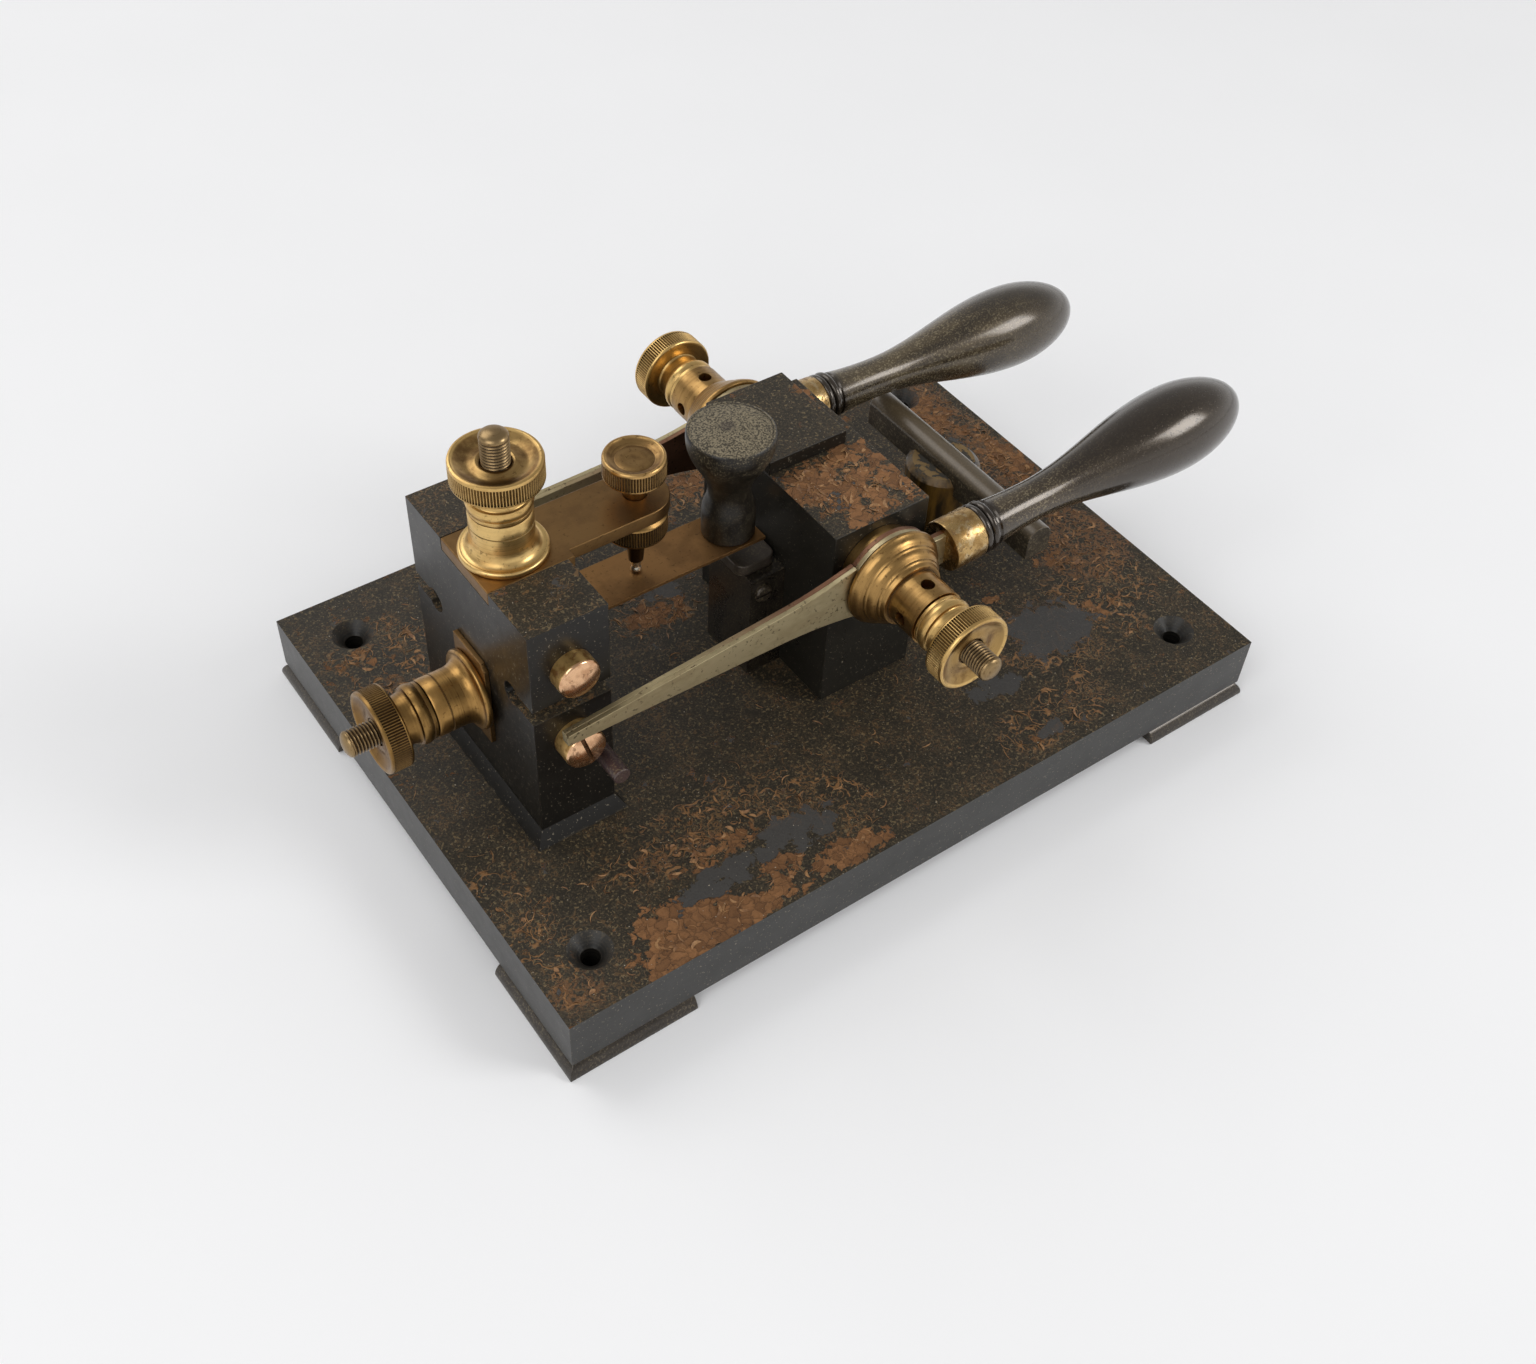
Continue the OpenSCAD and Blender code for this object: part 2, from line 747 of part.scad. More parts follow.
module lock_nut() {
    r = lock_nut_d / 2;
    collar = r - dish;
    z = -bridge_t - stop_gap;
    color(brass) at_contact_screw() rotate_extrude() polygon([
        [contact_bore, z], [collar, z], [collar, z - dish], [r, z - 2 * dish], [r, z - lock_nut_h + dish],
        [collar, z - lock_nut_h], [contact_bore, z - lock_nut_h]]);
}

// Push key

module spring_strip() {
    tail_x = contact_right - strip_tail;
    color(dark_brass) difference() {
        on_base() translate([tail_x, -strip_w / 2, strip_under])
            cube([strip_end - tail_x, strip_w, strip_t]);
        at_knob() drill(knob_screw_d / 2 + fit_gap, strip_t + eps);
    }
}

module knob() {
    foot = knob_foot_d / 2;
    waist = knob_waist_d / 2;
    head = knob_head_d / 2;
    rim_z = knob_h - knob_crown - knob_rim_h;
    rim_round = knob_rim_h / 4;
    screw_depth = knob_h / 2;
    color(black) difference() {
        at_knob() rotate_extrude() polygon(concat(
            [[0, 0], [foot, 0], [foot, knob_foot_h]],
            swell(foot, knob_foot_h, waist, knob_waist_h),
            swell(waist, knob_waist_h, head, rim_z),
            arc(head - rim_round, knob_h - knob_crown - rim_round, rim_round, 0, 90),
            [[head / 2, knob_h - knob_crown / 4], [0, knob_h]]));
        at_knob() pierce(knob_screw_d / 2 + fit_gap, screw_depth - eps);
    }
}

module knob_screw() {
    head_z = -strip_t - knob_screw_head_h;
    color(brass) at_knob() {
        translate([0, 0, head_z]) cylinder(d = knob_screw_head_d, h = knob_screw_head_h);
        translate([0, 0, head_z]) cylinder(d = knob_screw_d, h = knob_h / 2 - fit_gap - head_z);
    }
}

// Rest pillar under the knob

pillar_screw_x = block_left - pillar_l * 2 / 3;
pillar_screw_z = rest_z - rest_t - pillar_screw_drop;
pillar_shank_r = pillar_screw_d / 4;

module rest_pillar() {
    color(black) difference() {
        on_base() translate([block_left - pillar_l / 2, 0, 0]) block(pillar_l, pillar_w, rest_z - rest_t);
        on_base() on_side(front) facing_out(pillar_screw_x, 0, pillar_screw_z)
            cylinder(r = pillar_shank_r + fit_gap, h = pillar_w);
        at_fixings() fixing_hole();
    }
}

module rest_plate() {
    right = block_left - rest_back;
    color(black) on_base() translate([right - rest_l, -rest_w / 2, rest_z - rest_t])
        linear_extrude(rest_t) {
            translate([rest_r, 0]) square([rest_l - 2 * rest_r, rest_w]);
            translate([0, rest_r]) square([rest_l, rest_w - 2 * rest_r]);
            for (x = [rest_r, rest_l - rest_r], y = [rest_r, rest_w - rest_r])
                translate([x, y]) circle(r = rest_r);
        }
}

module pillar_screw() {
    out = pillar_screw_d / 4;
    shank_l = pillar_w / 2 - fit_gap;
    color(brass) on_base() on_side(front) facing_out(pillar_screw_x, pillar_w / 2, pillar_screw_z)
        difference() {
            union() {
                rounded_head(pillar_screw_d, out, out / 2);
                translate([0, 0, -shank_l]) cylinder(r = pillar_shank_r, h = shank_l);
            }
            slot_cut(pillar_screw_d, out + slot_depth / 2);
        }
}

// Lever block

module lever_block() {
    color(ebonite) difference() {
        on_base() translate([lever_block_x, 0, 0]) block(lever_block_l, lever_block_w, lever_block_h);
        for (side = [front, rear])
            at_pivot(side) facing_out(0, boss_y, 0) drill(stud_bore, stud_root + fit_gap);
        at_fixings() fixing_hole();
    }
}

module top_plate() {
    color(black) on_base() translate([block_left, lever_block_w / 2 - top_plate_w, lever_block_h])
        cube([top_plate_l, top_plate_w, top_plate_t]);
}

// Lever pivots, which are binding posts too

module lever_boss(side) {
    color(brass) at_pivot(side) facing_out(0, boss_y, 0) difference() {
        cylinder(d = boss_d, h = boss_t);
        pierce(stud_bore, boss_t);
    }
}

pivot_body_l = 3 * pivot_step_h + pivot_body_h;
pivot_nut_y = flange_y + pivot_body_l + stop_gap;

module pivot_profile() {
    flange = pivot_flange_d / 2;
    body = pivot_body_d / 2;
    seat = boss_y + boss_t - flange_y;
    edge = pivot_step_h / 3;
    polygon(concat(
        [[stud_bore, seat], [spigot_d / 2, seat], [spigot_d / 2, 0], [flange - edge, 0]],
        [for (i = [0:2]) each concat(
            arc(flange - i * pivot_step_r - edge, i * pivot_step_h + edge, edge, i == 0 ? -90 : 0, 60, 4),
            [[flange - i * pivot_step_r - edge, (i + 1) * pivot_step_h]])],
        [[body, 3 * pivot_step_h], [body, pivot_body_l], [stud_bore, pivot_body_l]]));
}

module lever_terminal_body(side) {
    hole_z = 3 * pivot_step_h + pivot_body_h / 2;
    color(brass) at_pivot(side) facing_out(0, flange_y, 0) difference() {
        rotate_extrude() pivot_profile();
        for (turn = [0:90:270])
            rotate(turn) translate([pivot_body_d / 2, 0, hole_z]) rotate([0, 90, 0])
                drill(tommy_d / 2, tommy_depth);
    }
}

module lever_terminal_stud(side) {
    out = pivot_nut_y + nut_hub_h + nut_h + stud_free - boss_y;
    color(dark_brass) at_pivot(side) facing_out(0, boss_y, 0) terminal_stud(out);
}

module lever_terminal_nut(side) {
    color(brass) at_pivot(side) facing_out(0, pivot_nut_y, 0) terminal_nut();
}

// Levers

module blade_outline() {
    inner = ring_d / 2 - flare_step;
    edge = [for (x = [flare_x:-flare_step:inner]) [-x, blade_half(x)]];
    upper = concat([[-tip_reach, tip_h / 2]], edge);
    lower = [for (i = [len(upper) - 1:-1:0]) [upper[i][0], -upper[i][1]]];
    polygon(concat(upper, lower));
}

module lever_leaf(side, tilt, y) {
    tongue_l = ferrule_x + slit_depth - fit_gap;
    color(nickel) at_lever(side, tilt) difference() {
        union() {
            translate([0, y + leaf_t, 0]) rotate([90, 0, 0]) linear_extrude(leaf_t) blade_outline();
            facing_out(0, y, 0) cylinder(d = ring_d, h = leaf_t);
            translate([spigot_d / 2, y, -handle_drop - tongue_h / 2])
                cube([tongue_l - spigot_d / 2, leaf_t, tongue_h]);
        }
        facing_out(0, y, 0) pierce(spigot_d / 2 + run_gap, leaf_t);
    }
}

module at_handle(side, tilt, x) {
    at_lever(side, tilt) translate([x, handle_y, -handle_drop]) rotate([0, 90, 0]) children();
}

module lever_ferrule(side, tilt) {
    slit_w = 2 * leaf_t + 2 * fit_gap;
    slit_h = tongue_h + 2 * fit_gap;
    color(brass) at_handle(side, tilt, ferrule_x) difference() {
        union() {
            cylinder(d = ferrule_d, h = ferrule_l);
            cylinder(d = tang_d, h = ferrule_l + tang_l);
        }
        translate([-slit_h / 2, -handle_out - slit_w / 2, -eps])
            cube([slit_h, slit_w, slit_depth + eps]);
    }
}

module lever_handle(side, tilt) {
    bead = bead_w / 2;
    groove_r = bead_d / 2 - bead;
    start = 2 * bead_w + bead;
    tang_r = tang_d / 2 + fit_gap;
    tang_end = tang_l + fit_gap;
    color(black) at_handle(side, tilt, ferrule_x + ferrule_l) rotate_extrude() polygon(concat(
        [[0, tang_end], [tang_r, tang_end], [tang_r, 0]],
        arc(groove_r, bead, bead, -90, 90),
        arc(groove_r, 3 * bead, bead, -90, 90),
        [[groove_r, start]],
        [for (x = [start:3:bulge_x]) [handle_r(x), x]],
        [for (t = [0:9:90]) [bulge_d / 2 * cos(t), bulge_x + (handle_l - bulge_x) * sin(t)]]));
}

// Rest bar and its post

module rest_post() {
    r = post_d / 2;
    h = rest_bar_z + post_cheek_h;
    slot = rest_bar_w + 2 * fit_gap;
    color(dark_brass) difference() {
        on_base() translate([rest_bar_x, post_y, 0]) rotate_extrude()
            polygon([[0, 0], [r, 0], [r, h - post_chamfer], [r - post_chamfer, h], [0, h]]);
        on_base() translate([rest_bar_x, post_y, rest_bar_z]) block(slot, 2 * post_d, post_cheek_h + eps);
        at_fixings() fixing_hole();
    }
}

module rest_bar() {
    half = rest_bar_w / 2;
    side_h = rest_bar_top - rest_bar_rise - rest_bar_z;
    top_r = (half * half + rest_bar_rise * rest_bar_rise) / (2 * rest_bar_rise);
    spread = asin(half / top_r);
    crown = arc(0, side_h + rest_bar_rise - top_r, top_r, 90 - spread, 90 + spread, 12);
    color(black) on_base() translate([rest_bar_x, rest_bar_l / 2, rest_bar_z]) rotate([90, 0, 0])
        linear_extrude(rest_bar_l) polygon(concat([[-half, 0], [half, 0]], crown));
}

// Screws from beneath

module block_screws() {
    color(dark_brass) at_fixings() difference() {
        union() {
            translate([0, 0, foot_h]) cylinder(d = fixing_head_d, h = fixing_head_h);
            translate([0, 0, foot_h]) cylinder(d = fixing_d, h = base_t + fixing_reach - fit_gap);
        }
        translate([0, 0, foot_h]) rotate([180, 0, 0]) slot_cut(fixing_head_d, slot_depth - eps);
    }
}

base_plate();
corner_feet();
contact_block();
bridge_bar();
top_terminal_body();
top_terminal_stud();
top_terminal_nut();
left_terminal_plate();
left_terminal_body();
left_terminal_stud();
left_terminal_nut();
upper_contacts();
lower_contacts();
guard_pegs();
contact_screw();
contact_tip();
lock_nut();
spring_strip();
knob();
knob_screw();
rest_pillar();
rest_plate();
pillar_screw();
lever_block();
top_plate();
lever_boss(front);  // front_boss
lever_terminal_body(front);  // front_terminal_body
lever_terminal_stud(front);  // front_terminal_stud
lever_terminal_nut(front);  // front_terminal_nut
lever_boss(rear);  // rear_boss
lever_terminal_body(rear);  // rear_terminal_body
lever_terminal_stud(rear);  // rear_terminal_stud
lever_terminal_nut(rear);  // rear_terminal_nut
lever_leaf(front, rest_tilt_front, leaf_y);  // front_blade_inner
lever_leaf(front, rest_tilt_front, blade_mid_y);  // front_blade_outer
lever_ferrule(front, rest_tilt_front);  // front_ferrule
lever_handle(front, rest_tilt_front);  // front_handle
lever_leaf(rear, rest_tilt_rear, leaf_y);  // rear_blade_inner
lever_leaf(rear, rest_tilt_rear, blade_mid_y);  // rear_blade_outer
lever_ferrule(rear, rest_tilt_rear);  // rear_ferrule
lever_handle(rear, rest_tilt_rear);  // rear_handle
rest_post();
rest_bar();
block_screws();
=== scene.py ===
# %% [markdown]
# # Dressing an old telegraph testing key
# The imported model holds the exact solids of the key: a hard rubber base on four feet, two blocks,
# two swinging levers with turned handles, a push key on a spring strip, and brass terminals.
# In this lesson Blender gives them their looks. Solids that are only plain get a twin with eased
# edges, knurling or threads, and each twin rides on the body that carries the solid.

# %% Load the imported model
import json
import math
import random

import bmesh
import bpy
from mathutils import Matrix, Vector


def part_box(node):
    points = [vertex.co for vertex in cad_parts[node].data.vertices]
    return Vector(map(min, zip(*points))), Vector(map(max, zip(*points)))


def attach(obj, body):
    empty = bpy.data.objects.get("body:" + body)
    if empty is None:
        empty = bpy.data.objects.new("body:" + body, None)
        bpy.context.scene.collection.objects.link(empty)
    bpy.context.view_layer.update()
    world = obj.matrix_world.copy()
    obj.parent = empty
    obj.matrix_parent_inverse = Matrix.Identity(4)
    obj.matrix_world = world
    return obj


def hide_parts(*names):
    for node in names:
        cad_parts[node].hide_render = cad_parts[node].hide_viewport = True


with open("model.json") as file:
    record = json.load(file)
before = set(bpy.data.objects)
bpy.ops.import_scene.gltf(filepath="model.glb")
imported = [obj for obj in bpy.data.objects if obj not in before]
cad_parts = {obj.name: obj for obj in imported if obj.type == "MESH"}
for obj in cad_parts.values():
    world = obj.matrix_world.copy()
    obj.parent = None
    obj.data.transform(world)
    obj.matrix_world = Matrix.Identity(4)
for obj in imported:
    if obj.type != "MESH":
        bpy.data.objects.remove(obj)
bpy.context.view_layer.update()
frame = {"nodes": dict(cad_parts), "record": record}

MM = 0.001
home = {node: body for body, nodes in frame["record"]["behaviour"]["bodies"].items() for node in nodes}

# %% [markdown]
# ## Camera
# The corners of the base in the photograph fix where the lens stood: a little to the left of the
# key and well above it. The place, the view direction and the slight roll go straight into the
# camera's matrix, which is surer than turning it by hand until things line up.

# %% Camera
eye = Vector((-185.9, -235.7, 326.1)) * MM
ahead = Vector((0.42021, 0.53135, -0.73559))
right = Vector((0.81261, -0.58111, 0.04445))
lens = bpy.data.cameras.new("camera")
lens.sensor_width = 36
lens.lens = 40.36
lens.clip_start = 0.01
camera = bpy.data.objects.new("camera", lens)
facing = Matrix((right, right.cross(ahead), -ahead)).transposed()
camera.matrix_world = Matrix.Translation(eye) @ facing.to_4x4()
bpy.context.scene.collection.objects.link(camera)
bpy.context.scene.camera = camera
print("camera at", [round(v / MM) for v in eye])

# %% [markdown]
# ## Shader maths
# Node trees grow long when every sum is a node made by hand. A small class wraps one output socket,
# so that masks are written as sums: 1 - mask, or 0.5 * grain + 0.2. Anything that isn't a sum
# comes from node, which sets the node's settings first and then its sockets, or from maths, which
# is short for a single math node.

# %% A socket that can be used in sums
class Wire:
    def __init__(self, tree, socket=None):
        self.tree = tree
        self.socket = socket

    def node(self, kind, sockets=None, out=0, **settings):
        made = self.tree.nodes.new("ShaderNode" + kind)
        stops = settings.pop("stops", None)
        for name, value in settings.items():
            setattr(made, name, value)
        if stops:
            band = made.color_ramp.elements
            band.remove(band[1])
            band[0].position, band[0].color = stops[0]
            for place, colour in stops[1:]:
                band.new(place).color = colour
        for key, value in (sockets or {}).items():
            if isinstance(value, Wire):
                self.tree.links.new(value.socket, made.inputs[key])
            else:
                made.inputs[key].default_value = value
        return Wire(self.tree, made.outputs[out])

    def maths(self, operation, *values):
        return self.node("Math", dict(enumerate(values)), operation=operation)

    def __add__(self, other):
        return self.maths("ADD", self, other)

    def __sub__(self, other):
        return self.maths("SUBTRACT", self, other)

    def __rsub__(self, other):
        return self.maths("SUBTRACT", other, self)

    def __mul__(self, other):
        return self.maths("MULTIPLY", self, other)

    __radd__ = __add__
    __rmul__ = __mul__


# %% [markdown]
# ## Small shader helpers
# Every finish below needs the same few things: a colour as a paint chart gives it, noise whose
# grain is given in millimetres, a soft step, a thin line where a value crosses a level, and a mix
# of two colours. Lengths and single axes of a vector come up often enough to get a name too.

# %% Shader helpers
def tone(red, green, blue):
    chart = [c / 255 for c in (red, green, blue)]
    return (*[c / 12.92 if c <= 0.04045 else ((c + 0.055) / 1.055) ** 2.4 for c in chart], 1)


def noise(at, grain, detail=3, rough=0.55, out="Fac"):
    sockets = {"Vector": at, "Scale": 1 / grain, "Detail": detail, "Roughness": rough}
    return at.node("TexNoise", sockets, out)


def step(value, low, high):
    sockets = {"Value": value, "From Min": low, "From Max": high}
    return value.node("MapRange", sockets, interpolation_type="SMOOTHSTEP")


def line(value, level, width):
    return 1 - step(value.maths("ABSOLUTE", value - level), width * 0.3, width)


def mix(mask, first, second):
    return mask.node("Mix", {0: mask, 6: first, 7: second}, out=2, data_type="RGBA")


def vector(at, operation, other, out=0):
    return at.node("VectorMath", {0: at, 1: other}, out, operation=operation)


def length_of(arm):
    return vector(arm, "LENGTH", (0, 0, 0), "Value")


def part_of(arm, axis):
    return arm.node("SeparateXYZ", {0: arm}, out=axis)


def finish(name):
    material = bpy.data.materials.new(name)
    material.use_nodes = True
    start = Wire(material.node_tree)
    at = vector(start.node("TexCoord", out="Object"), "SCALE", (0, 0, 0))
    at.socket.node.inputs["Scale"].default_value = 1 / MM
    return material, at


def paint(material, at, height=None, **sockets):
    shader = material.node_tree.nodes["Principled BSDF"]
    if height is not None:
        sockets["Normal"] = at.node("Bump", {"Height": height, "Distance": MM, "Strength": 1.0})
    for name, value in sockets.items():
        socket = shader.inputs[name.replace("_", " ")]
        if isinstance(value, Wire):
            material.node_tree.links.new(value.socket, socket)
        else:
            socket.default_value = value
    return material


print("chart white", tone(255, 255, 255)[0])

# %% [markdown]
# ## Floor and light
# The key was photographed on a pale seamless sheet. The gleam on the handles shows one big soft
# lamp in front and to the right, and the rest of the room is nearly as bright. A pale floor, a sky
# that is bright near the horizon and dimmer overhead, and three square lamps give the same: soft
# shadows to the left, and brass that has something dark to mirror as well.

# %% Floor
sheet = bpy.data.meshes.new("floor")
reach, drop = 4, -1e-4
corners = [(-reach, -reach, drop), (reach, -reach, drop), (reach, reach, drop), (-reach, reach, drop)]
sheet.from_pydata(corners, [], [(0, 1, 2, 3)])
floor = bpy.data.objects.new("floor", sheet)
bpy.context.scene.collection.objects.link(floor)
paper, at = finish("pale_paper")
paper_tone = mix(noise(at, 90, 2), tone(246, 246, 247), tone(250, 250, 251))
sheet.materials.append(paint(paper, at, Base_Color=paper_tone, Roughness=0.9))

# %% Sky and lamps
world = bpy.data.worlds.new("studio")
world.use_nodes = True
bpy.context.scene.world = world
sky = Wire(world.node_tree)
climb = part_of(sky.node("TexCoord", out="Generated"), "Z")
levels = ((0.0, 1.0), (0.12, 0.95), (0.45, 0.44), (1.0, 0.36))
glow = climb.node("ValToRGB", {0: climb}, stops=[(place, (grey, grey, grey, 1)) for place, grey in levels])
world.node_tree.links.new(glow.socket, world.node_tree.nodes["Background"].inputs["Color"])


def lamp(name, place, side, power):
    light = bpy.data.lights.new(name, "AREA")
    light.size = side
    light.energy = power
    made = bpy.data.objects.new(name, light)
    made.location = place
    made.rotation_euler = (-Vector(place)).to_track_quat("-Z", "Y").to_euler()
    bpy.context.scene.collection.objects.link(made)


lamp("soft_key", (0.80, -0.86, 0.84), 0.5, 6.0)
lamp("soft_fill", (-0.95, -0.40, 0.95), 0.9, 5.8)
lamp("soft_back", (-0.30, 1.00, 1.10), 0.9, 5.6)
bpy.context.scene.view_settings.view_transform = "Standard"

# %% [markdown]
# ## Hard rubber that has aged
# The base and blocks are black hard rubber. Light and air have crazed its skin: fine curly lines
# everywhere, and places where the skin has turned rust brown, lifted in curls and left bare slate
# grey. The pattern is laid out from soft ellipses where the photograph shows the worst spots, and
# noise makes their edges ragged. Only faces that look up are broken; the sides stay smooth.

# %% Fields of the aged skin
def patch_field(at, patches):
    total = noise(at, 14, 2) * 0.4 - 0.32
    for x, y, wide, deep, share in patches:
        sockets = {0: at, 1: (1 / wide, 1 / deep, 0), 2: (-x / wide, -y / deep, 0)}
        arm = at.node("VectorMath", sockets, operation="MULTIPLY_ADD")
        reach = length_of(arm)
        sockets = {"Value": reach, "From Min": 0.3, "From Max": 1.25, "To Min": share, "To Max": 0}
        total = total + at.node("MapRange", sockets, interpolation_type="SMOOTHSTEP")
    return total


def bend(at, amount, grain):
    sway = vector(noise(at, grain, 2, out="Color"), "SUBTRACT", (0.5, 0.5, 0.5))
    return vector(at, "ADD", vector(sway, "MULTIPLY", (amount, amount, amount)))


def facing_up(at, low=0.6, high=0.9):
    normal = at.node("TexCoord", out="Normal")
    return step(part_of(normal, "Z"), low, high)


def open_share(at, reach, inside):
    sockets = {"Distance": reach * MM}
    return at.node("AmbientOcclusion", sockets, "AO", only_local=True, inside=inside, samples=4)


def crest(at, reach):
    return step(1 - open_share(at, reach, True), 0.55, 0.85)


def cells(at, size):
    sockets = {"Vector": at, "Scale": 1 / size}
    draw = at.node("TexVoronoi", sockets, "Color")
    chance = draw.node("SeparateColor", {0: draw}, "Red")
    shade = draw.node("SeparateColor", {0: draw}, "Green")
    return chance, shade, at.node("TexVoronoi", sockets, "Distance", feature="DISTANCE_TO_EDGE")


# %% Masks of the aged skin
def skin_masks(at, worn, size):
    swirl, ripple = bend(at, 5, 7), bend(at, 2.2, 1.8)
    rust_field, bare_field, curl_field, fine_field = (
        patch_field(at, worn[kind]) for kind in ("rust", "bare", "curl", "fine"))
    ragged = noise(swirl, 4.5, 6, 0.7) - 0.5
    chance, shade, rim = cells(ripple, size)
    bare_edge = bare_field + 3.0 * ragged + 0.3 * (chance - 0.5)
    bare = step(bare_edge, 0.34, 0.46)
    lift = rust_field + 2.3 * ragged + 0.7 * (chance - 0.5)
    zone = step(curl_field + 0.6 * ragged, 0.16, 0.42) * (1 - 0.9 * bare)
    worm = line(noise(swirl, 6.0, 1.5), 0.5, 0.020) + line(noise(ripple, 4.2, 1), 0.53, 0.022)
    shore = line(bare_edge, 0.36, 0.05) + line(lift, 0.38, 0.05)
    curl = (worm * step(noise(at, 3.4, 2), 0.45, 0.52) + 0.7 * shore) * zone
    frays = step(fine_field + 1.2 * ragged, 0.26, 0.50) * (1 - bare)
    hair = line(noise(ripple, 1.4, 1.5), 0.5, 0.05) * step(noise(at, 9, 4), 0.46, 0.62)
    hair = hair + line(noise(bend(at, 2, 3), 3.4, 1), 0.47, 0.022) * step(noise(at, 5, 2), 0.48, 0.56)
    return {
        "bare": bare,
        "shade": shade,
        "skin": step(lift, 0.40, 0.42) * (1 - bare),
        "crack": 1 - step(rim, 0.01, 0.05),
        "turned_up": 1 - step(rim, 0.02, 0.22),
        "wrinkle": noise(ripple, 1.2, 3),
        "curl": curl.maths("MINIMUM", curl, 1.0),
        "frayed": line(noise(ripple, 1.7, 2.5), 0.5, 0.09) * frays,
        "hair": hair.maths("MINIMUM", hair, 1.0) * (0.6 + 0.4 * zone) * (1 - bare),
        "grain": noise(at, 0.45, 2),
        "fleck": step(noise(bend(at, 0.8, 0.7), 0.75, 1.5), 0.60, 0.66)}


# %% Colours of the aged skin and the smooth sides, and painted shade in the screw holes
def skin_colour(at, mask, crazed):
    dust = step(noise(at, 0.6, 1), 0.745, 0.78)
    ground = mix(noise(at, 9, 4), tone(33, 29, 23), tone(52, 46, 36))
    ground = mix(step(mask["grain"], 0.46, 0.66) * 0.4, ground, tone(92, 81, 61))
    ground = mix(mask["fleck"] * 0.7, ground, tone(116, 100, 72))
    ground = mix(mask["hair"] * crazed, ground, tone(132, 99, 62))
    ground = mix(mask["bare"], ground, mix(mask["grain"], tone(58, 56, 55), tone(78, 76, 73)))
    rust = mix(mask["shade"], tone(106, 73, 45), tone(138, 97, 61))
    rust = mix(step(mask["wrinkle"], 0.44, 0.66) * 0.35, rust, tone(78, 52, 30))
    rust = mix(mask["crack"] * 0.4, rust, tone(56, 39, 25))
    ground = mix(mask["frayed"] * 0.7, ground, rust)
    ground = mix(mask["skin"], ground, rust)
    ground = mix(mask["curl"] * 0.7, ground, tone(146, 106, 66))
    return mix(dust * 0.8, ground, tone(190, 178, 158))


def side_colour(at, dark, light):
    side = mix(noise(vector(at, "MULTIPLY", (0.4, 0.4, 1)), 5, 5), dark, light)
    side = mix(step(noise(at, 0.55, 1.5), 0.66, 0.72) * 0.55, side, tone(140, 130, 112))
    return mix(crest(at, 0.8) * step(noise(at, 2.5, 3), 0.40, 0.60) * 0.5, side, tone(104, 92, 72))


def painted_hole_shade(at, colour, x, y, reach, top):
    # Painted shade: inside the screw holes the colour darkens towards the bottom, in faint rings.
    arm = vector(vector(at, "ABSOLUTE", (0, 0, 0)), "SUBTRACT", (x, y, 0))
    inside = 1 - step(length_of(vector(arm, "MULTIPLY", (1, 1, 0))), reach, reach + 0.5)
    depth = step(top - part_of(at, "Z"), 0.15, 3.0)
    rings = step(noise(vector(at, "MULTIPLY", (0, 0, 1)), 0.5, 1), 0.40, 0.60)
    return mix(inside * depth * 0.9, colour, mix(rings, tone(11, 10, 9), tone(42, 39, 34)))


# %% The aged skin
def aged_rubber(name, worn, size, crazed, side_dark, side_light, gloss, holes=None):
    material, at = finish(name)
    mask = skin_masks(at, worn, size)
    up = facing_up(at)
    colour = mix(up, side_colour(at, side_dark, side_light), skin_colour(at, mask, crazed))
    if holes:
        colour = painted_hole_shade(at, colour, *holes)
    flaky = 0.10 + 0.11 * mask["turned_up"] + 0.10 * mask["wrinkle"] - 0.10 * mask["crack"]
    raised = mask["skin"] * flaky + 0.10 * mask["frayed"] + 0.22 * mask["curl"]
    raised = raised + 0.05 * mask["hair"] + 0.03 * mask["fleck"] - 0.03 * mask["bare"]
    height = up * raised + 0.012 * mask["grain"]
    rough = up * (0.54 + 0.24 * mask["skin"] - 0.12 * mask["bare"] - gloss)
    rough = rough + gloss + 0.14 * noise(at, 4, 3) - 0.07
    return paint(material, at, height, Base_Color=colour, Roughness=rough, Specular_IOR_Level=0.3)


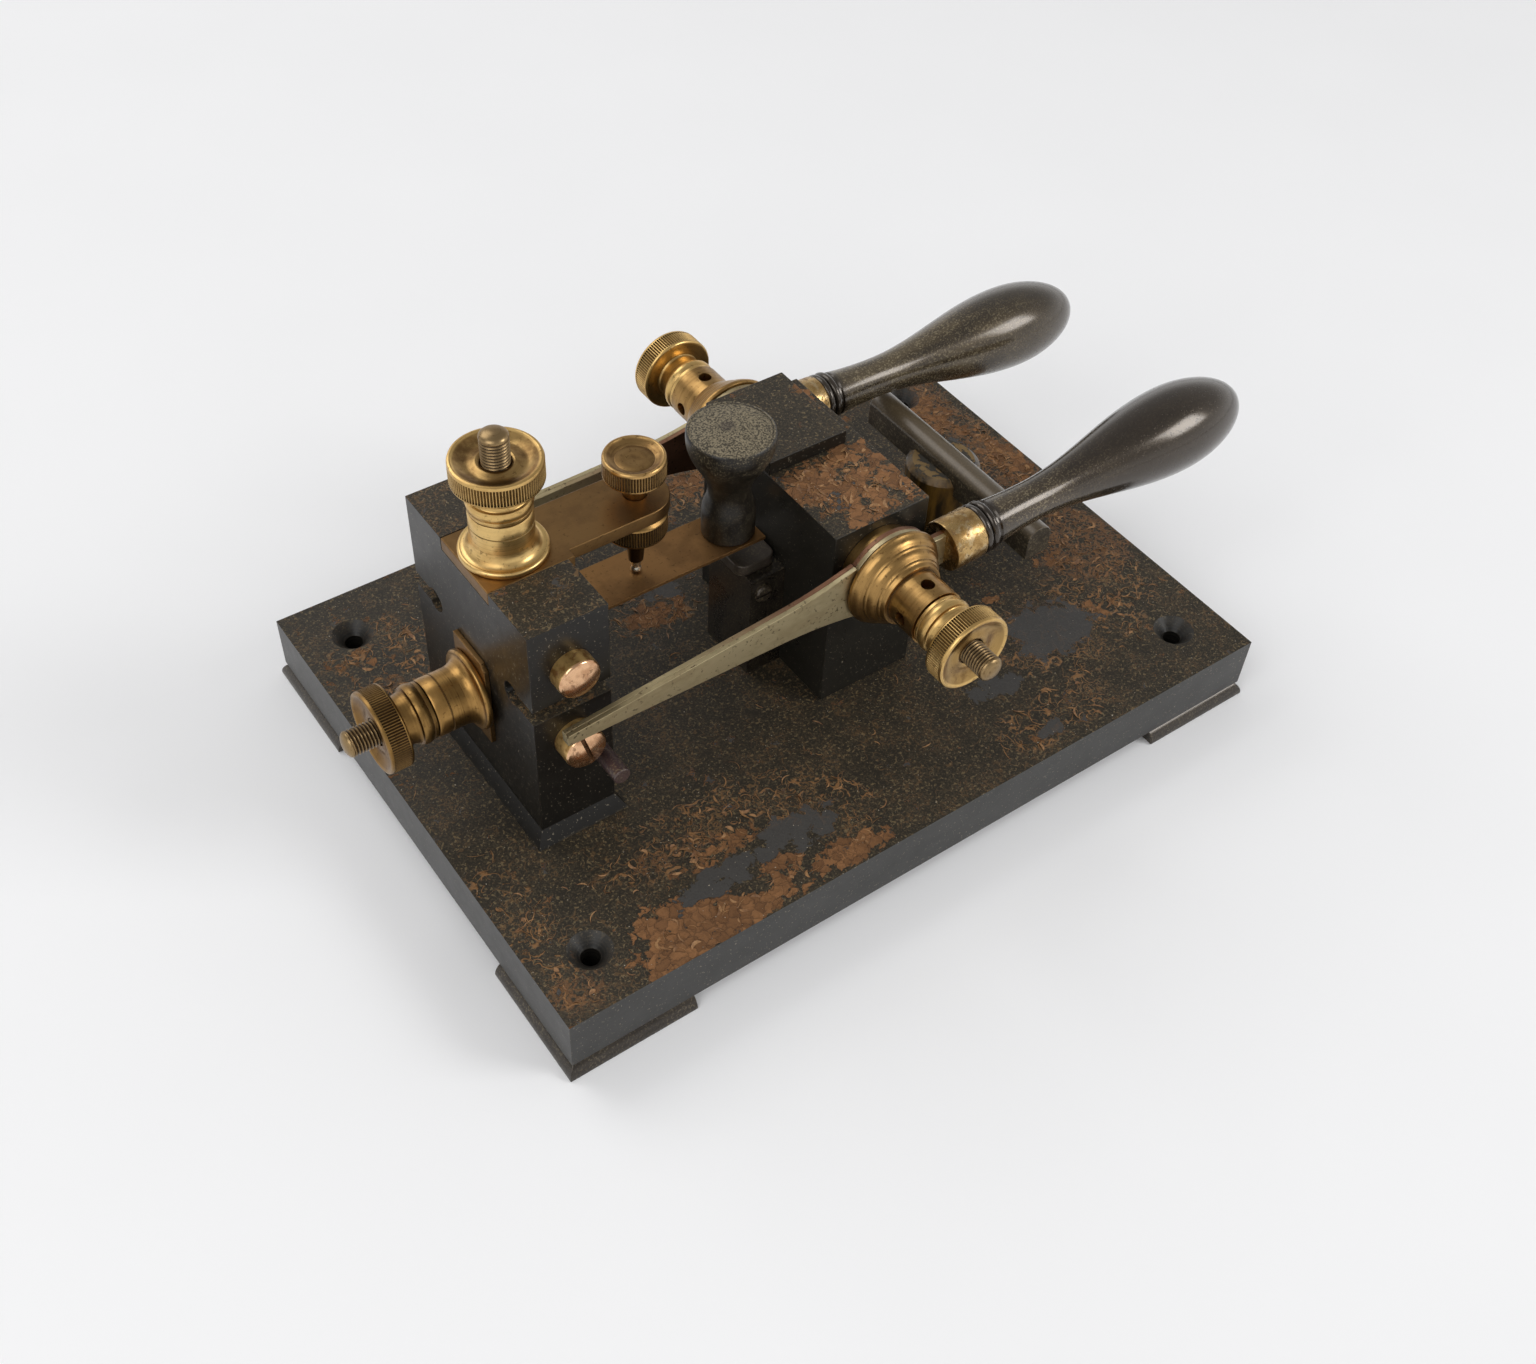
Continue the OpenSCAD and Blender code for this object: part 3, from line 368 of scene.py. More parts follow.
# %% Where each block is worn
base_worn = {
    "rust": [
        (-66, -61, 17, 9, 1.0), (-55, -66, 23, 5, 1.0), (-50, -49, 13, 4, 0.7), (-40, -59, 7, 6, 0.8),
        (-24, -65, 11, 5, 1.0), (-73, -69, 10, 3, 0.8), (78, -18, 10, 5, 0.5), (76, -38, 7, 6, 0.4),
        (94, 20, 7, 17, 0.6), (88, 45, 10, 15, 0.65), (-21, 21, 12, 6, 0.75), (54, -22, 9, 3, 0.6),
        (33, -62, 7, 4, 0.4), (-97, 12, 4, 12, 0.4), (-89, 46, 9, 6, 0.4), (22, 58, 26, 7, 0.65),
        (-40, 62, 20, 5, 0.55), (62, 60, 16, 6, 0.5)],
    "bare": [
        (-53, -55.5, 13, 4.6, 1.0), (-30, -54, 14, 6.5, 0.95), (60, -38, 15, 11, 1.1), (36, -45, 10, 5, 0.8),
        (38, -63, 6, 3, 0.7), (85, 30, 5, 9, 0.8), (-16, 27, 8, 5, 0.6), (30, 50, 14, 6, 0.7)],
    "curl": [
        (-46, -42, 34, 10, 1.0), (-20, -52, 13, 12, 0.8), (40, -60, 22, 9, 0.9), (60, -40, 22, 17, 0.9),
        (82, -34, 18, 18, 0.8), (-96, -45, 9, 26, 0.9), (-82, 42, 19, 19, 0.8), (-20, 22, 15, 9, 0.9),
        (90, 30, 13, 36, 0.8), (20, 56, 36, 11, 0.8), (-45, 60, 26, 9, 0.7)],
    "fine": [
        (88, -20, 19, 15, 0.9), (92, 10, 11, 24, 0.8), (90, 46, 13, 20, 0.7), (-93, -63, 11, 8, 0.6),
        (-60, -45, 24, 9, 0.45), (-88, 30, 14, 16, 0.45), (10, 60, 40, 9, 0.5)]}
contact_worn = {
    "rust": [(-57, -24, 3, 2, 0.3)], "bare": [], "curl": [],
    "fine": [(-60, -23, 7, 4, 0.35)]}
lever_worn = {
    "rust": [(13, -12, 17, 20, 0.76), (0, -8, 6, 9, 0.5), (20, 20, 5, 8, 0.6)],
    "bare": [(3, -16, 5, 7, 0.4)], "curl": [(10, -12, 20, 16, 0.6)], "fine": [(8, -14, 18, 14, 0.2)]}
plate_worn = {"rust": [(21, 17, 4, 10, 0.6)], "bare": [], "curl": [(20, 15, 6, 12, 0.5)], "fine": []}
screws = next(m["dims"] for m in frame["record"]["mounts"] if m["name"] == "base_screws")
hole_x, hole_y = screws["spacing_x_mm"] / 2, screws["spacing_y_mm"] / 2
hole_reach = 7
base_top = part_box("base_plate")[1][2] / MM
holes = (hole_x, hole_y, hole_reach, base_top)
base_skin = aged_rubber(
    "aged_base", base_worn, 2.4, 0.45, tone(38, 37, 35), tone(58, 57, 55), 0.36, holes)
contact_skin = aged_rubber(
    "aged_contact_block", contact_worn, 2.4, 0.8, tone(17, 15, 13), tone(30, 28, 24), 0.31)
lever_skin = aged_rubber(
    "aged_lever_block", lever_worn, 3.4, 0.2, tone(26, 24, 20), tone(38, 36, 31), 0.30)
plate_skin = aged_rubber(
    "aged_top_plate", plate_worn, 2.6, 0.15, tone(24, 21, 17), tone(36, 32, 26), 0.34)
print("aged finishes", base_skin.name, contact_skin.name, lever_skin.name)

# %% [markdown]
# ## Smooth hard rubber
# The handles, the knob, the feet and the small plates kept their skin. They are near black, with
# an olive bloom where hands never polish it, and a fine pitted grain that breaks up the gloss.
# The grooves between the beads get painted shade.
# The rest bar's upward faces get painted light.

# %% Smooth black finishes
far_off = 900
nowhere = (far_off, far_off + 1)
as_is = (1, 1, 1)


def bloomed_black(
        name, dark, bloom, share, gloss, stretch=as_is, polished=nowhere, beads=-far_off,
        sheen=0.5, painted_top_light=None):
    material, at = finish(name)
    along = part_of(at, "X")
    hand = (1 - 0.8 * step(along, *polished)) * step(along, beads, beads + 2)
    grain = noise(at, 0.5, 2)
    cloud = step(noise(vector(at, "MULTIPLY", stretch), 7, 5, 0.62), 0.36, 0.66) * hand
    speck = step(grain, 0.52, 0.64) * (0.3 + 0.7 * cloud) * hand
    pit = step(noise(at, 0.75, 1.5), 0.62, 0.67)
    # Painted shade: the grooves between the beads are darkened nearly to black.
    groove_shade = step(1 - open_share(at, 1.4, False), 0.15, 0.55)
    colour = mix(cloud * share, dark, bloom)
    colour = mix(speck * share, colour, tone(128, 117, 92))
    colour = mix(pit * 0.5 * share, colour, tone(34, 30, 25))
    # Painted light: upward faces are lightened towards the given tone.
    if painted_top_light:
        colour = mix(facing_up(at, 0.0, 1.0) * (0.5 + 0.5 * grain), colour, painted_top_light)
    colour = mix(groove_shade * 0.9, colour, tone(10, 9, 8))
    rough = gloss + 0.08 * cloud + 0.06 * speck + 0.16 * pit * share + 0.2 * groove_shade
    height = 0.008 * grain - 0.02 * pit * share
    return paint(
        material, at, height, Base_Color=colour, Roughness=rough, Specular_IOR_Level=sheen,
        Specular_Tint=tone(255, 232, 206), Coat_Weight=1.1 * sheen, Coat_Roughness=0.75 * gloss,
        Coat_IOR=1.6)


lengthwise = (0.3, 1, 1)
past_beads = 38.5
front_black = bloomed_black(
    "front_handle_black", tone(26, 20, 15), tone(70, 59, 43), 0.7, 0.20, lengthwise, (50, 80), past_beads)
rear_black = bloomed_black(
    "rear_handle_black", tone(34, 28, 20), tone(78, 67, 48), 0.9, 0.22, lengthwise, (75, 112), past_beads)
foot_black = bloomed_black("foot_black", tone(22, 19, 16), tone(40, 34, 28), 0.35, 0.26, sheen=0.4)
plate_black = bloomed_black("plate_black", tone(46, 40, 34), tone(66, 58, 49), 0.3, 0.40)
# The rest bar's top is lightened as painted light.
bar_black = bloomed_black("bar_black", tone(34, 30, 24), tone(56, 49, 38), 0.6, 0.36, painted_top_light=tone(92, 79, 59))
peg_fibre = bloomed_black("peg_fibre", tone(52, 38, 40), tone(70, 54, 55), 0.5, 0.34)
# Painted shade: a near black finish for a brass screw that sits in shade.
shaded_screw_black = bloomed_black("shaded_screw_black", tone(30, 25, 19), tone(56, 46, 33), 0.6, 0.36)
print("smooth finishes", front_black.name, foot_black.name)


# %% The knob, dull and speckled on top
def knob_finish():
    material, at = finish("knob_black")
    up = facing_up(at)
    grain = noise(at, 0.42, 2)
    cloud = step(noise(at, 5, 4), 0.42, 0.62)
    olive = mix(step(grain, 0.38, 0.62), tone(58, 52, 42), tone(132, 121, 98))
    worn_spot = vector(at, "SUBTRACT", (-14.6, 0.6, 90))
    olive = mix((1 - step(length_of(worn_spot), 0.8, 2.6)) * 0.5, olive, tone(52, 44, 42))
    neck_level, rim_level = 76, 87
    high = step(part_of(at, "Z"), neck_level, rim_level)
    side = mix(cloud * 0.6, tone(23, 19, 14), tone(44, 38, 28))
    side = mix(step(grain, 0.52, 0.66) * (0.15 + 0.6 * high * cloud), side, tone(118, 108, 86))
    rough = 0.34 + 0.26 * up + 0.10 * cloud
    colour = mix(up, side, olive)
    return paint(material, at, 0.03 * grain * up, Base_Color=colour, Roughness=rough, Specular_IOR_Level=0.35)


knob_black = knob_finish()


# %% The post, golden brown with a flaky top
def post_finish():
    material, at = finish("post_brown")
    up = facing_up(at)
    cloud = noise(vector(at, "MULTIPLY", (1, 1, 0.25)), 3, 4)
    side = mix(step(cloud, 0.40, 0.66), tone(38, 27, 11), tone(112, 82, 32))
    flake = step(noise(bend(at, 4, 4), 3, 5, 0.65), 0.46, 0.49)
    top = mix(flake, tone(60, 56, 48), tone(124, 100, 62))
    height = 0.12 * flake * up + 0.02 * cloud
    return paint(material, at, height, Base_Color=mix(up, side, top), Roughness=0.30 + 0.32 * up)


post_brown = post_finish()
print("knob and post", knob_black.name, post_brown.name)

# %% [markdown]
# ## Brass and its patina
# The terminals are turned brass under old lacquer: warm gold on the crests, a broad brown painted
# shade near the hollows, nearly black patina down in the knurling, and a painted dark reflection in
# the polished dishes. Ambient occlusion that looks only at the piece itself finds the hollows, and
# the turning marks follow two numbers kept at each vertex: how far along the piece's axis it lies,
# and how far out. A third one, how deep it is cut, tells where dirt packs.

# %% Brass finishes
def turned_brass(
        name, gold, brown, grime_and_shade=1.0, gloss=0.27, dark_below=-far_off, dish=None, packed=0.45):
    material, at = finish(name)
    turned = at.node("Attribute", out="Vector", attribute_name="turned")
    along, out, valley = (part_of(turned, axis) for axis in "XYZ")
    lathed = vector(turned, "MULTIPLY", (1, 1, 0))
    rings = noise(lathed, 0.6, 3, 0.7)
    cloud = step(noise(at, 6, 5, 0.6), 0.46, 0.70)
    scratch = step(noise(lathed, 0.28, 2), 0.56, 0.66) * step(noise(at, 1.8, 3), 0.50, 0.60)
    spots = step(noise(at, 0.9, 3), 0.62, 0.68)
    corner = step(1 - open_share(at, 0.9, False), 0.10, 0.48)
    # Painted shade: a broad brown darkening within five millimetres of the piece's own hollows.
    shade = step(1 - open_share(at, 5, False), 0.10, 0.85)
    colour = mix(0.35 * cloud + 0.30 * step(rings, 0.42, 0.7), gold, brown)
    colour = mix(shade * 0.6 * grime_and_shade, colour, tone(104, 70, 33))
    colour = mix((spots * 0.4 + scratch * 0.4) * grime_and_shade, colour, tone(84, 60, 32))
    # Painted reflection: the polished dish is darkened brown, as if it mirrored a dim overhead.
    if dish:
        height, reach = dish
        painted_dish_reflection = step(along, height, height + 0.3) * (1 - step(out, reach - 0.5, reach))
        colour = mix(painted_dish_reflection * (0.5 + 0.4 * cloud), colour, tone(100, 73, 43))
    dirt = corner.maths("MAXIMUM", corner, packed * step(valley, 0.15, 0.95)) * grime_and_shade
    colour = mix(dirt.maths("MINIMUM", dirt * 0.85, 0.9), colour, tone(44, 31, 16))
    colour = mix(step(along, dark_below, dark_below + 1), tone(52, 42, 30), colour)
    rough = gloss + 0.10 * cloud + 0.16 * dirt + 0.06 * rings + 0.08 * scratch
    return paint(material, at, 0.002 * rings, Base_Color=colour, Roughness=rough, Metallic=1 - 0.3 * dirt)


def plain_metal(name, bright, dull, flaw, gloss, brush=(0.06, 1, 1)):
    material, at = finish(name)
    hairs = noise(vector(at, "MULTIPLY", brush), 0.35, 3, 0.6)
    cloud = step(noise(at, 7, 5, 0.6), 0.40, 0.66)
    spots = step(noise(at, 0.9, 2), 0.64, 0.70)
    colour = mix(0.55 * cloud + 0.25 * hairs, bright, dull)
    colour = mix(spots * 0.55, colour, flaw)
    colour = mix(crest(at, 0.5) * step(noise(at, 3, 3), 0.40, 0.60) * 0.35, colour, tone(226, 198, 146))
    rough = gloss + 0.12 * cloud + 0.10 * hairs
    return paint(material, at, 0.010 * hairs, Base_Color=colour, Roughness=rough, Metallic=0.95)


brass = turned_brass("turned_brass", tone(222, 188, 124), tone(162, 122, 68))
nut_dish = (11.0, 8.7)
nut_brass = turned_brass("nut_brass", tone(214, 178, 114), tone(152, 114, 64), dish=nut_dish)
# Painted shade: the left terminal's body and nut take darker copies of the brass.
shaded_side_brass = turned_brass("shaded_side_brass", tone(170, 132, 77), tone(100, 71, 36), 1.3, 0.28)
shaded_brass = turned_brass("shaded_brass", tone(150, 117, 68), tone(90, 64, 34), 1.5, 0.30, dish=nut_dish)
pivot_brass = turned_brass("pivot_brass", tone(166, 131, 80), tone(96, 69, 37), 1.3, 0.26)
shank_top, screw_dish = -10.5, (8.9, 6.1)
screw_brass = turned_brass(
    "screw_brass", tone(190, 153, 98), tone(118, 88, 51), 1.3, 0.28, shank_top, screw_dish)
thread_brass = turned_brass(
    "thread_brass", tone(150, 126, 90), tone(92, 73, 47), 1.15, 0.30, packed=0.95)
bridge_brass = plain_metal("bridge_brass", tone(132, 101, 62), tone(98, 73, 44), tone(72, 52, 30), 0.30)
strip_brass = plain_metal("strip_brass", tone(146, 108, 66), tone(104, 76, 46), tone(72, 52, 31), 0.34)
tip_silver = plain_metal(
    "tip_silver", tone(214, 209, 196), tone(160, 152, 134), tone(100, 90, 74), 0.20, as_is)
print("metals", brass.name, bridge_brass.name, tip_silver.name)


# %% Ferrule brass, blotched by handling
def blotched_brass():
    material, at = finish("ferrule_brass")
    cloud = step(noise(bend(at, 3, 3), 3.2, 5, 0.66), 0.42, 0.62)
    bite = step(noise(bend(at, 2, 1.5), 1.3, 5, 0.7), 0.55, 0.62)
    pale = step(noise(at, 2.4, 4), 0.54, 0.62)
    colour = mix(cloud, tone(190, 158, 106), tone(152, 119, 72))
    colour = mix(pale * 0.45, colour, tone(210, 192, 156))
    colour = mix(bite * 0.6, colour, tone(76, 54, 32))
    rough = 0.24 + 0.14 * cloud + 0.22 * bite
    return paint(material, at, -0.02 * bite, Base_Color=colour, Roughness=rough, Metallic=1 - 0.4 * bite)


ferrule_brass = blotched_brass()


# %% Nickel silver of the lever blades
def blade_metal(name, rosy):
    material, at = finish(name)
    hairs = noise(vector(at, "MULTIPLY", (0.05, 1, 1)), 0.4, 3, 0.6)
    cloud = step(noise(vector(at, "MULTIPLY", (0.5, 1, 1)), 6, 5, 0.62), 0.40, 0.66)
    spots = step(noise(at, 0.9, 2), 0.60, 0.66) * step(noise(at, 6, 3), 0.40, 0.58)
    colour = mix(0.6 * cloud + 0.3 * hairs, tone(194, 179, 141), tone(150, 134, 101))
    near_hub = step(part_of(at, "X"), -50, -12)
    colour = mix(near_hub * rosy, colour, mix(hairs, tone(104, 62, 48), tone(140, 92, 72)))
    colour = mix(spots * 0.75, colour, tone(72, 58, 40))
    edge = crest(at, 0.45) * step(noise(vector(at, "MULTIPLY", (0.3, 1, 1)), 2, 3), 0.42, 0.56)
    colour = mix(edge * 0.55, colour, tone(92, 66, 42))
    rough = 0.32 + 0.12 * cloud + 0.10 * hairs + 0.12 * spots
    return paint(material, at, 0.010 * hairs, Base_Color=colour, Roughness=rough, Metallic=0.95)


blade_nickel = blade_metal("blade_nickel", 0.0)
leaf_nickel = blade_metal("leaf_nickel", 0.85)


# %% Contact metal, gold on the sides and rosy on the face
def contact_metal():
    material, at = finish("contact_metal")
    turned = at.node("Attribute", out="Vector", attribute_name="turned")
    face = step(part_of(turned, "Z"), 0.3, 0.6)
    cloud = step(noise(at, 2.6, 4), 0.42, 0.64)
    side = mix(cloud, tone(206, 168, 104), tone(142, 102, 54))
    rose = mix(cloud * 0.6, tone(226, 182, 142), tone(176, 128, 92))
    smear = step(noise(bend(at, 3, 3), 2.0, 4), 0.60, 0.66)
    colour = mix(smear * 0.5, mix(face, side, rose), tone(104, 76, 52))
    shade = step(1 - open_share(at, 1.2, False), 0.15, 0.7)
    colour = mix(shade * 0.8, colour, tone(50, 34, 20))
    rough = 0.30 - 0.14 * face + 0.10 * cloud + 0.2 * smear
    return paint(material, at, 0.004 * cloud, Base_Color=colour, Roughness=rough, Metallic=0.8 + 0.2 * face)


contact_rose = contact_metal()
print("more metals", ferrule_brass.name, blade_nickel.name, contact_rose.name)

# %% [markdown]
# ## Eased edges
# No real edge is as sharp as a solid's. A twin of the solid gets all its sharp edges rounded by a
# few tenths of a millimetre, so that they catch the light. The flat faces keep flat shading
# because normals are weighted by area, and the twin stands for the solid, which stays hidden.

# %% Twins with eased edges
def show(name, mesh, material, body, slot, *nodes):
    made = bpy.data.objects.new(name, mesh)
    bpy.context.scene.collection.objects.link(made)
    mesh.materials.clear()
    mesh.materials.append(material)
    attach(made, body)
    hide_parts(*nodes)
    return made


def eased(node, material, slot, width, steps=2, angle=28):
    shape = bmesh.new()
    shape.from_mesh(frame["nodes"][node].data)
    bmesh.ops.remove_doubles(shape, verts=shape.verts, dist=2e-6)
    bmesh.ops.dissolve_limit(shape, angle_limit=math.radians(0.5), verts=shape.verts, edges=shape.edges)
    sharp = [e for e in shape.edges if len(e.link_faces) == 2 and e.calc_face_angle() > math.radians(angle)]
    bmesh.ops.bevel(
        shape, geom=sharp, offset=width * MM, offset_type="OFFSET", segments=steps, profile=0.5,
        affect="EDGES", clamp_overlap=True)
    mesh = bpy.data.meshes.new(node + "_eased")
    shape.to_mesh(mesh)
    shape.free()
    for layer in [a.name for a in mesh.attributes if a.name in ("custom_normal", "sharp_face", "sharp_edge")]:
        mesh.attributes.remove(mesh.attributes[layer])
    mesh.shade_smooth()
    made = show(node + "_eased", mesh, material, home[node], slot, node)
    made.modifiers.new("flat faces", "WEIGHTED_NORMAL")
    return made


blocks = [
    eased("base_plate", base_skin, "ebonite_worn", 0.45),
    eased("corner_feet", foot_black, "ebonite", 0.8, 4),
    eased("contact_block", contact_skin, "ebonite_worn", 0.25),
    eased("lever_block", lever_skin, "ebonite_worn", 0.3),
    eased("top_plate", plate_skin, "ebonite", 0.3),
    eased("rest_pillar", foot_black, "ebonite", 0.25),
    eased("rest_plate", plate_black, "ebonite", 0.35),
    eased("rest_bar", bar_black, "ebonite_turned", 0.2),
    eased("rest_post", post_brown, "brown_post", 0.25),
    eased("guard_pegs", peg_fibre, "fibre", 0.3)]
print("blocks", [(b.name, len(b.data.vertices)) for b in blocks])

# %% Flat metal pieces
flats = [
    eased("bridge_bar", bridge_brass, "brass", 0.25),
    eased("left_terminal_plate", bridge_brass, "brass", 0.15),
    eased("spring_strip", strip_brass, "dark_brass", 0.12),
    # The pillar screw is brass, painted near black as painted shade under the disc.
    eased("pillar_screw", shaded_screw_black, "brass", 0.1)]
for end in ("front", "rear"):
    flats.append(eased(end + "_blade_outer", blade_nickel, "nickel_silver", 0.12))
    flats.append(eased(end + "_blade_inner", leaf_nickel, "nickel_silver", 0.12))
for hidden in ("block_screws", "knob_screw"):
    for place in frame["nodes"][hidden].material_slots:
        place.link = "OBJECT"
        place.material = thread_brass
print("flat metal", len(flats))

# %% [markdown]
# ## Turned pieces
# A turned piece is a profile swept round its axis, so the profile is all that has to be drawn. The
# corners of a profile are rounded first. Straight knurling is a radius that dips once per tooth,
# and a thread is a radius that dips along a helix.

# %% The lathe
def soften(points, radius, steps=3):
    made = [points[0]]
    for before, corner, after in zip(points, points[1:], points[2:]):
        a, b, c = Vector(before), Vector(corner), Vector(after)
        reach = min(radius, 0.45 * (a - b).length, 0.45 * (c - b).length)
        first, last = b + (a - b).normalized() * reach, b + (c - b).normalized() * reach
        for i in range(steps + 1):
            t = i / steps
            made.append(tuple(first * (1 - t) ** 2 + b * 2 * t * (1 - t) + last * t * t))
    return made + [points[-1]]


def cove(r0, h0, r1, h1, steps=10):
    turns = [math.pi / 2 * i / steps for i in range(steps + 1)]
    return [(r0 + (r1 - r0) * math.sin(t), h0 + (h1 - h0) * (1 - math.cos(t))) for t in turns]


def lathe(name, rows, origin, axis, count, dip=None, deepest=1.0):
    up = Vector(axis).normalized()
    side = up.orthogonal().normalized()
    other = up.cross(side)
    shape = bmesh.new()
    turned = shape.verts.layers.float_vector.new("turned")
    rings = []
    for radius, height in rows:
        ring = []
        for i in range(count):
            turn = 2 * math.pi * i / count
            cut = dip(i, radius, height) if dip else 0.0
            arm = side * math.cos(turn) + other * math.sin(turn)
            corner = shape.verts.new((Vector(origin) + up * height + arm * (radius - cut)) * MM)
            corner[turned] = (height, radius, cut / deepest)
            ring.append(corner)
        rings.append(ring)
    for low, high in zip(rings, rings[1:]):
        for i in range(count):
            j = (i + 1) % count
            shape.faces.new((low[i], low[j], high[j], high[i]))
    bmesh.ops.remove_doubles(shape, verts=shape.verts, dist=1e-7)
    bmesh.ops.dissolve_degenerate(shape, edges=shape.edges, dist=1e-7)
    bmesh.ops.recalc_face_normals(shape, faces=shape.faces)
    return smooth_mesh(name, shape)


def smooth_mesh(name, shape, angle=40):
    mesh = bpy.data.meshes.new(name)
    shape.to_mesh(mesh)
    shape.free()
    mesh.shade_smooth()
    mesh.set_sharp_from_angle(angle=math.radians(angle))
    return mesh


def mark_turning(mesh, origin, axis):
    layer = mesh.attributes.new("turned", "FLOAT_VECTOR", "POINT")
    for vertex, value in zip(mesh.vertices, layer.data):
        arm = vertex.co / MM - origin
        along = arm.dot(axis)
        value.vector = (along, (arm - axis * along).length, 0)


# %% [markdown]
# ## Terminal nuts
# Four knurled nuts of one pattern clamp the wires. Each has a rounded hub, a cove, and a disc with
# about a hundred fine teeth and a polished dish in its outer face.

# %% Terminal nuts
def knurl(teeth, low, high, rim, depth):
    tooth = (0.0, 0.0, 0.75, 1.0, 0.75)

    def dip(i, radius, height):
        return depth * tooth[i % len(tooth)] if low <= height <= high and radius > rim else 0.0

    return dip, len(tooth) * teeth


def bowl(rim, boss, top, depth, boss_drop, steps=16):
    made = []
    for i in range(steps + 1):
        t = i / steps
        made.append((rim + (boss - rim) * t, top - boss_drop * t - depth * math.sin(math.pi * t) ** 1.2))
    return made


joints = {joint["name"]: joint for joint in frame["record"]["behaviour"]["joints"]}
post_heights = {"top": 11.55, "left": 11.55, "front": 16.55, "rear": 16.55}


def post_foot(end):
    joint = joints[end + "_terminal_nut_turn"]
    spot, axis = Vector(joint["pos_m"]) / MM, Vector(joint["axis"])
    nut_foot = min(Vector(corner).dot(axis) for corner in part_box(end + "_terminal_nut")) / MM
    return spot + axis * (nut_foot - post_heights[end] - spot.dot(axis)), axis


places = {end: (*post_foot(end), height) for end, height in post_heights.items()}
print("terminals stand at", {end: [round(v, 2) for v in place[0]] for end, place in places.items()})


def terminal_nut(end):
    origin, axis, start = places[end]
    rows = [(3.12, 0), (6.45, 0), (6.62, 0.12), (6.66, 0.3), (6.68, 0.9), (6.6, 0.98), (6.68, 1.06)]
    rows += [(6.7 + 0.3 * math.sin(math.pi * i / 10), 1.15 + 2.3 * i / 10) for i in range(11)]
    rows += [(6.5, 3.55)] + cove(6.42, 3.6, 5.7, 6.6, 10) + [(5.75, 6.9), (6.0, 7.18)]
    rows += [(8.8, 7.3), (9.2, 7.36), (9.5, 7.6), (9.6, 7.85)]
    rows += [(9.6, 8.0), (9.6, 8.05), (9.6, 11.95), (9.6, 12.0)]
    rows += [(9.6, 12.2), (9.45, 12.62), (9.1, 12.8), (8.8, 12.78)]
    rows += bowl(8.7, 3.9, 12.7, 0.85, 0.75) + [(3.5, 11.85), (3.25, 11.7), (3.2, 11.3), (3.12, 9)]
    depth = 0.36
    dip, count = knurl(96, 8.02, 11.97, 9.5, depth)
    mesh = lathe(end + "_nut", rows, origin + axis * start, axis, count, dip, depth)
    node = end + "_terminal_nut"
    # The left nut gets the darker brass as painted shade.
    metal = shaded_brass if end == "left" else nut_brass
    return show(end + "_knurled_nut", mesh, metal, home[node], "brass", node)


nuts = [terminal_nut(end) for end in places]
print("nuts", [(n.name, len(n.data.vertices)) for n in nuts])

# %% [markdown]
# ## Threaded studs
# Each nut runs on a stud whose end stands free. The thread is cut as a helix with a pitch of three
# quarters of a millimetre, fading out before the rounded end.

# %% Threaded studs
def threaded(name, radius, low, high, start, origin, axis, pitch=0.75, depth=0.38, count=60):
    dome = radius * 0.45
    length = high - dome - start
    fine = int(length / pitch * 10)
    rows = [(radius, low), (radius, start)]
    rows += [(radius, start + length * i / fine) for i in range(1, fine + 1)]
    turns = [math.pi / 2 * i / 8 for i in range(9)]
    rows += [(radius * math.cos(t), high - dome + dome * math.sin(t)) for t in turns]

    def dip(i, r, h):
        if h <= start or r < radius - 1e-6:
            return 0.0
        wave = (h / pitch - i / count) % 1.0
        fade = min(1.0, (high - dome - h) / (0.6 * pitch))
        return depth * fade * abs(2 * wave - 1) ** 1.1

    return lathe(name, rows, origin, axis, count, dip, depth)


nut_height, stud_stands_out, thread_starts, stud_radius = 12.8, 6.49, 9, 3.05
stud_feet = {"top": -7, "left": -7, "front": -16, "rear": -16}


def terminal_stud(end):
    origin, axis, start = places[end]
    node = end + "_terminal_stud"
    high = start + nut_height + stud_stands_out
    mesh = threaded(end + "_stud", stud_radius, stud_feet[end], high, start + thread_starts, origin, axis)
    return show(end + "_threaded_stud", mesh, thread_brass, home[node], "dark_brass", node)


studs = [terminal_stud(end) for end in places]
print("studs", [(s.name, len(s.data.vertices)) for s in studs])

# %% [markdown]
# ## Terminal bodies
# The top and left terminals stand on a flange that sweeps up into a barrel with one cut line. The
# two lever pivots keep their solids' stepped shape, with cross holes for a tommy bar, so these are
# eased twins that only need their turning marks.

# %% Terminal bodies
def small_body(end, metal):
    origin, axis, _ = places[end]
    rows = soften([(3.12, 0), (9.3, 0), (9.5, 0.3), (9.5, 1.2), (9.1, 1.5), (8.75, 1.5)], 0.25)
    rows += cove(8.75, 1.55, 6.75, 4.6, 12) + [(6.75, 4.9), (6.75, 7.9)]
    rows += [(6.58, 8.0), (6.58, 8.15), (6.75, 8.3), (6.75, 10.9), (6.5, 11.28), (3.12, 11.3)]
    mesh = lathe(end + "_body", rows, origin, axis, 128)
    node = end + "_terminal_body"
    return show(end + "_barrel", mesh, metal, home[node], "brass", node)


barrels = [small_body("top", brass), small_body("left", shaded_side_brass)]
for end in ("front", "rear"):
    origin, axis, _ = places[end]
    for node in (end + "_terminal_body", end + "_boss"):
        twin = eased(node, pivot_brass, "brass", 0.14)
        mark_turning(twin.data, origin, axis)
        barrels.append(twin)
print("barrels", [b.name for b in barrels])

# %% [markdown]
# ## Contact screw and its lock nut
# The screw at the end of the bridge bar sets how far the push key travels. It has a knurled head
# with a dished top, a plain shank with a silver tip, and a knurled lock nut under the bar.

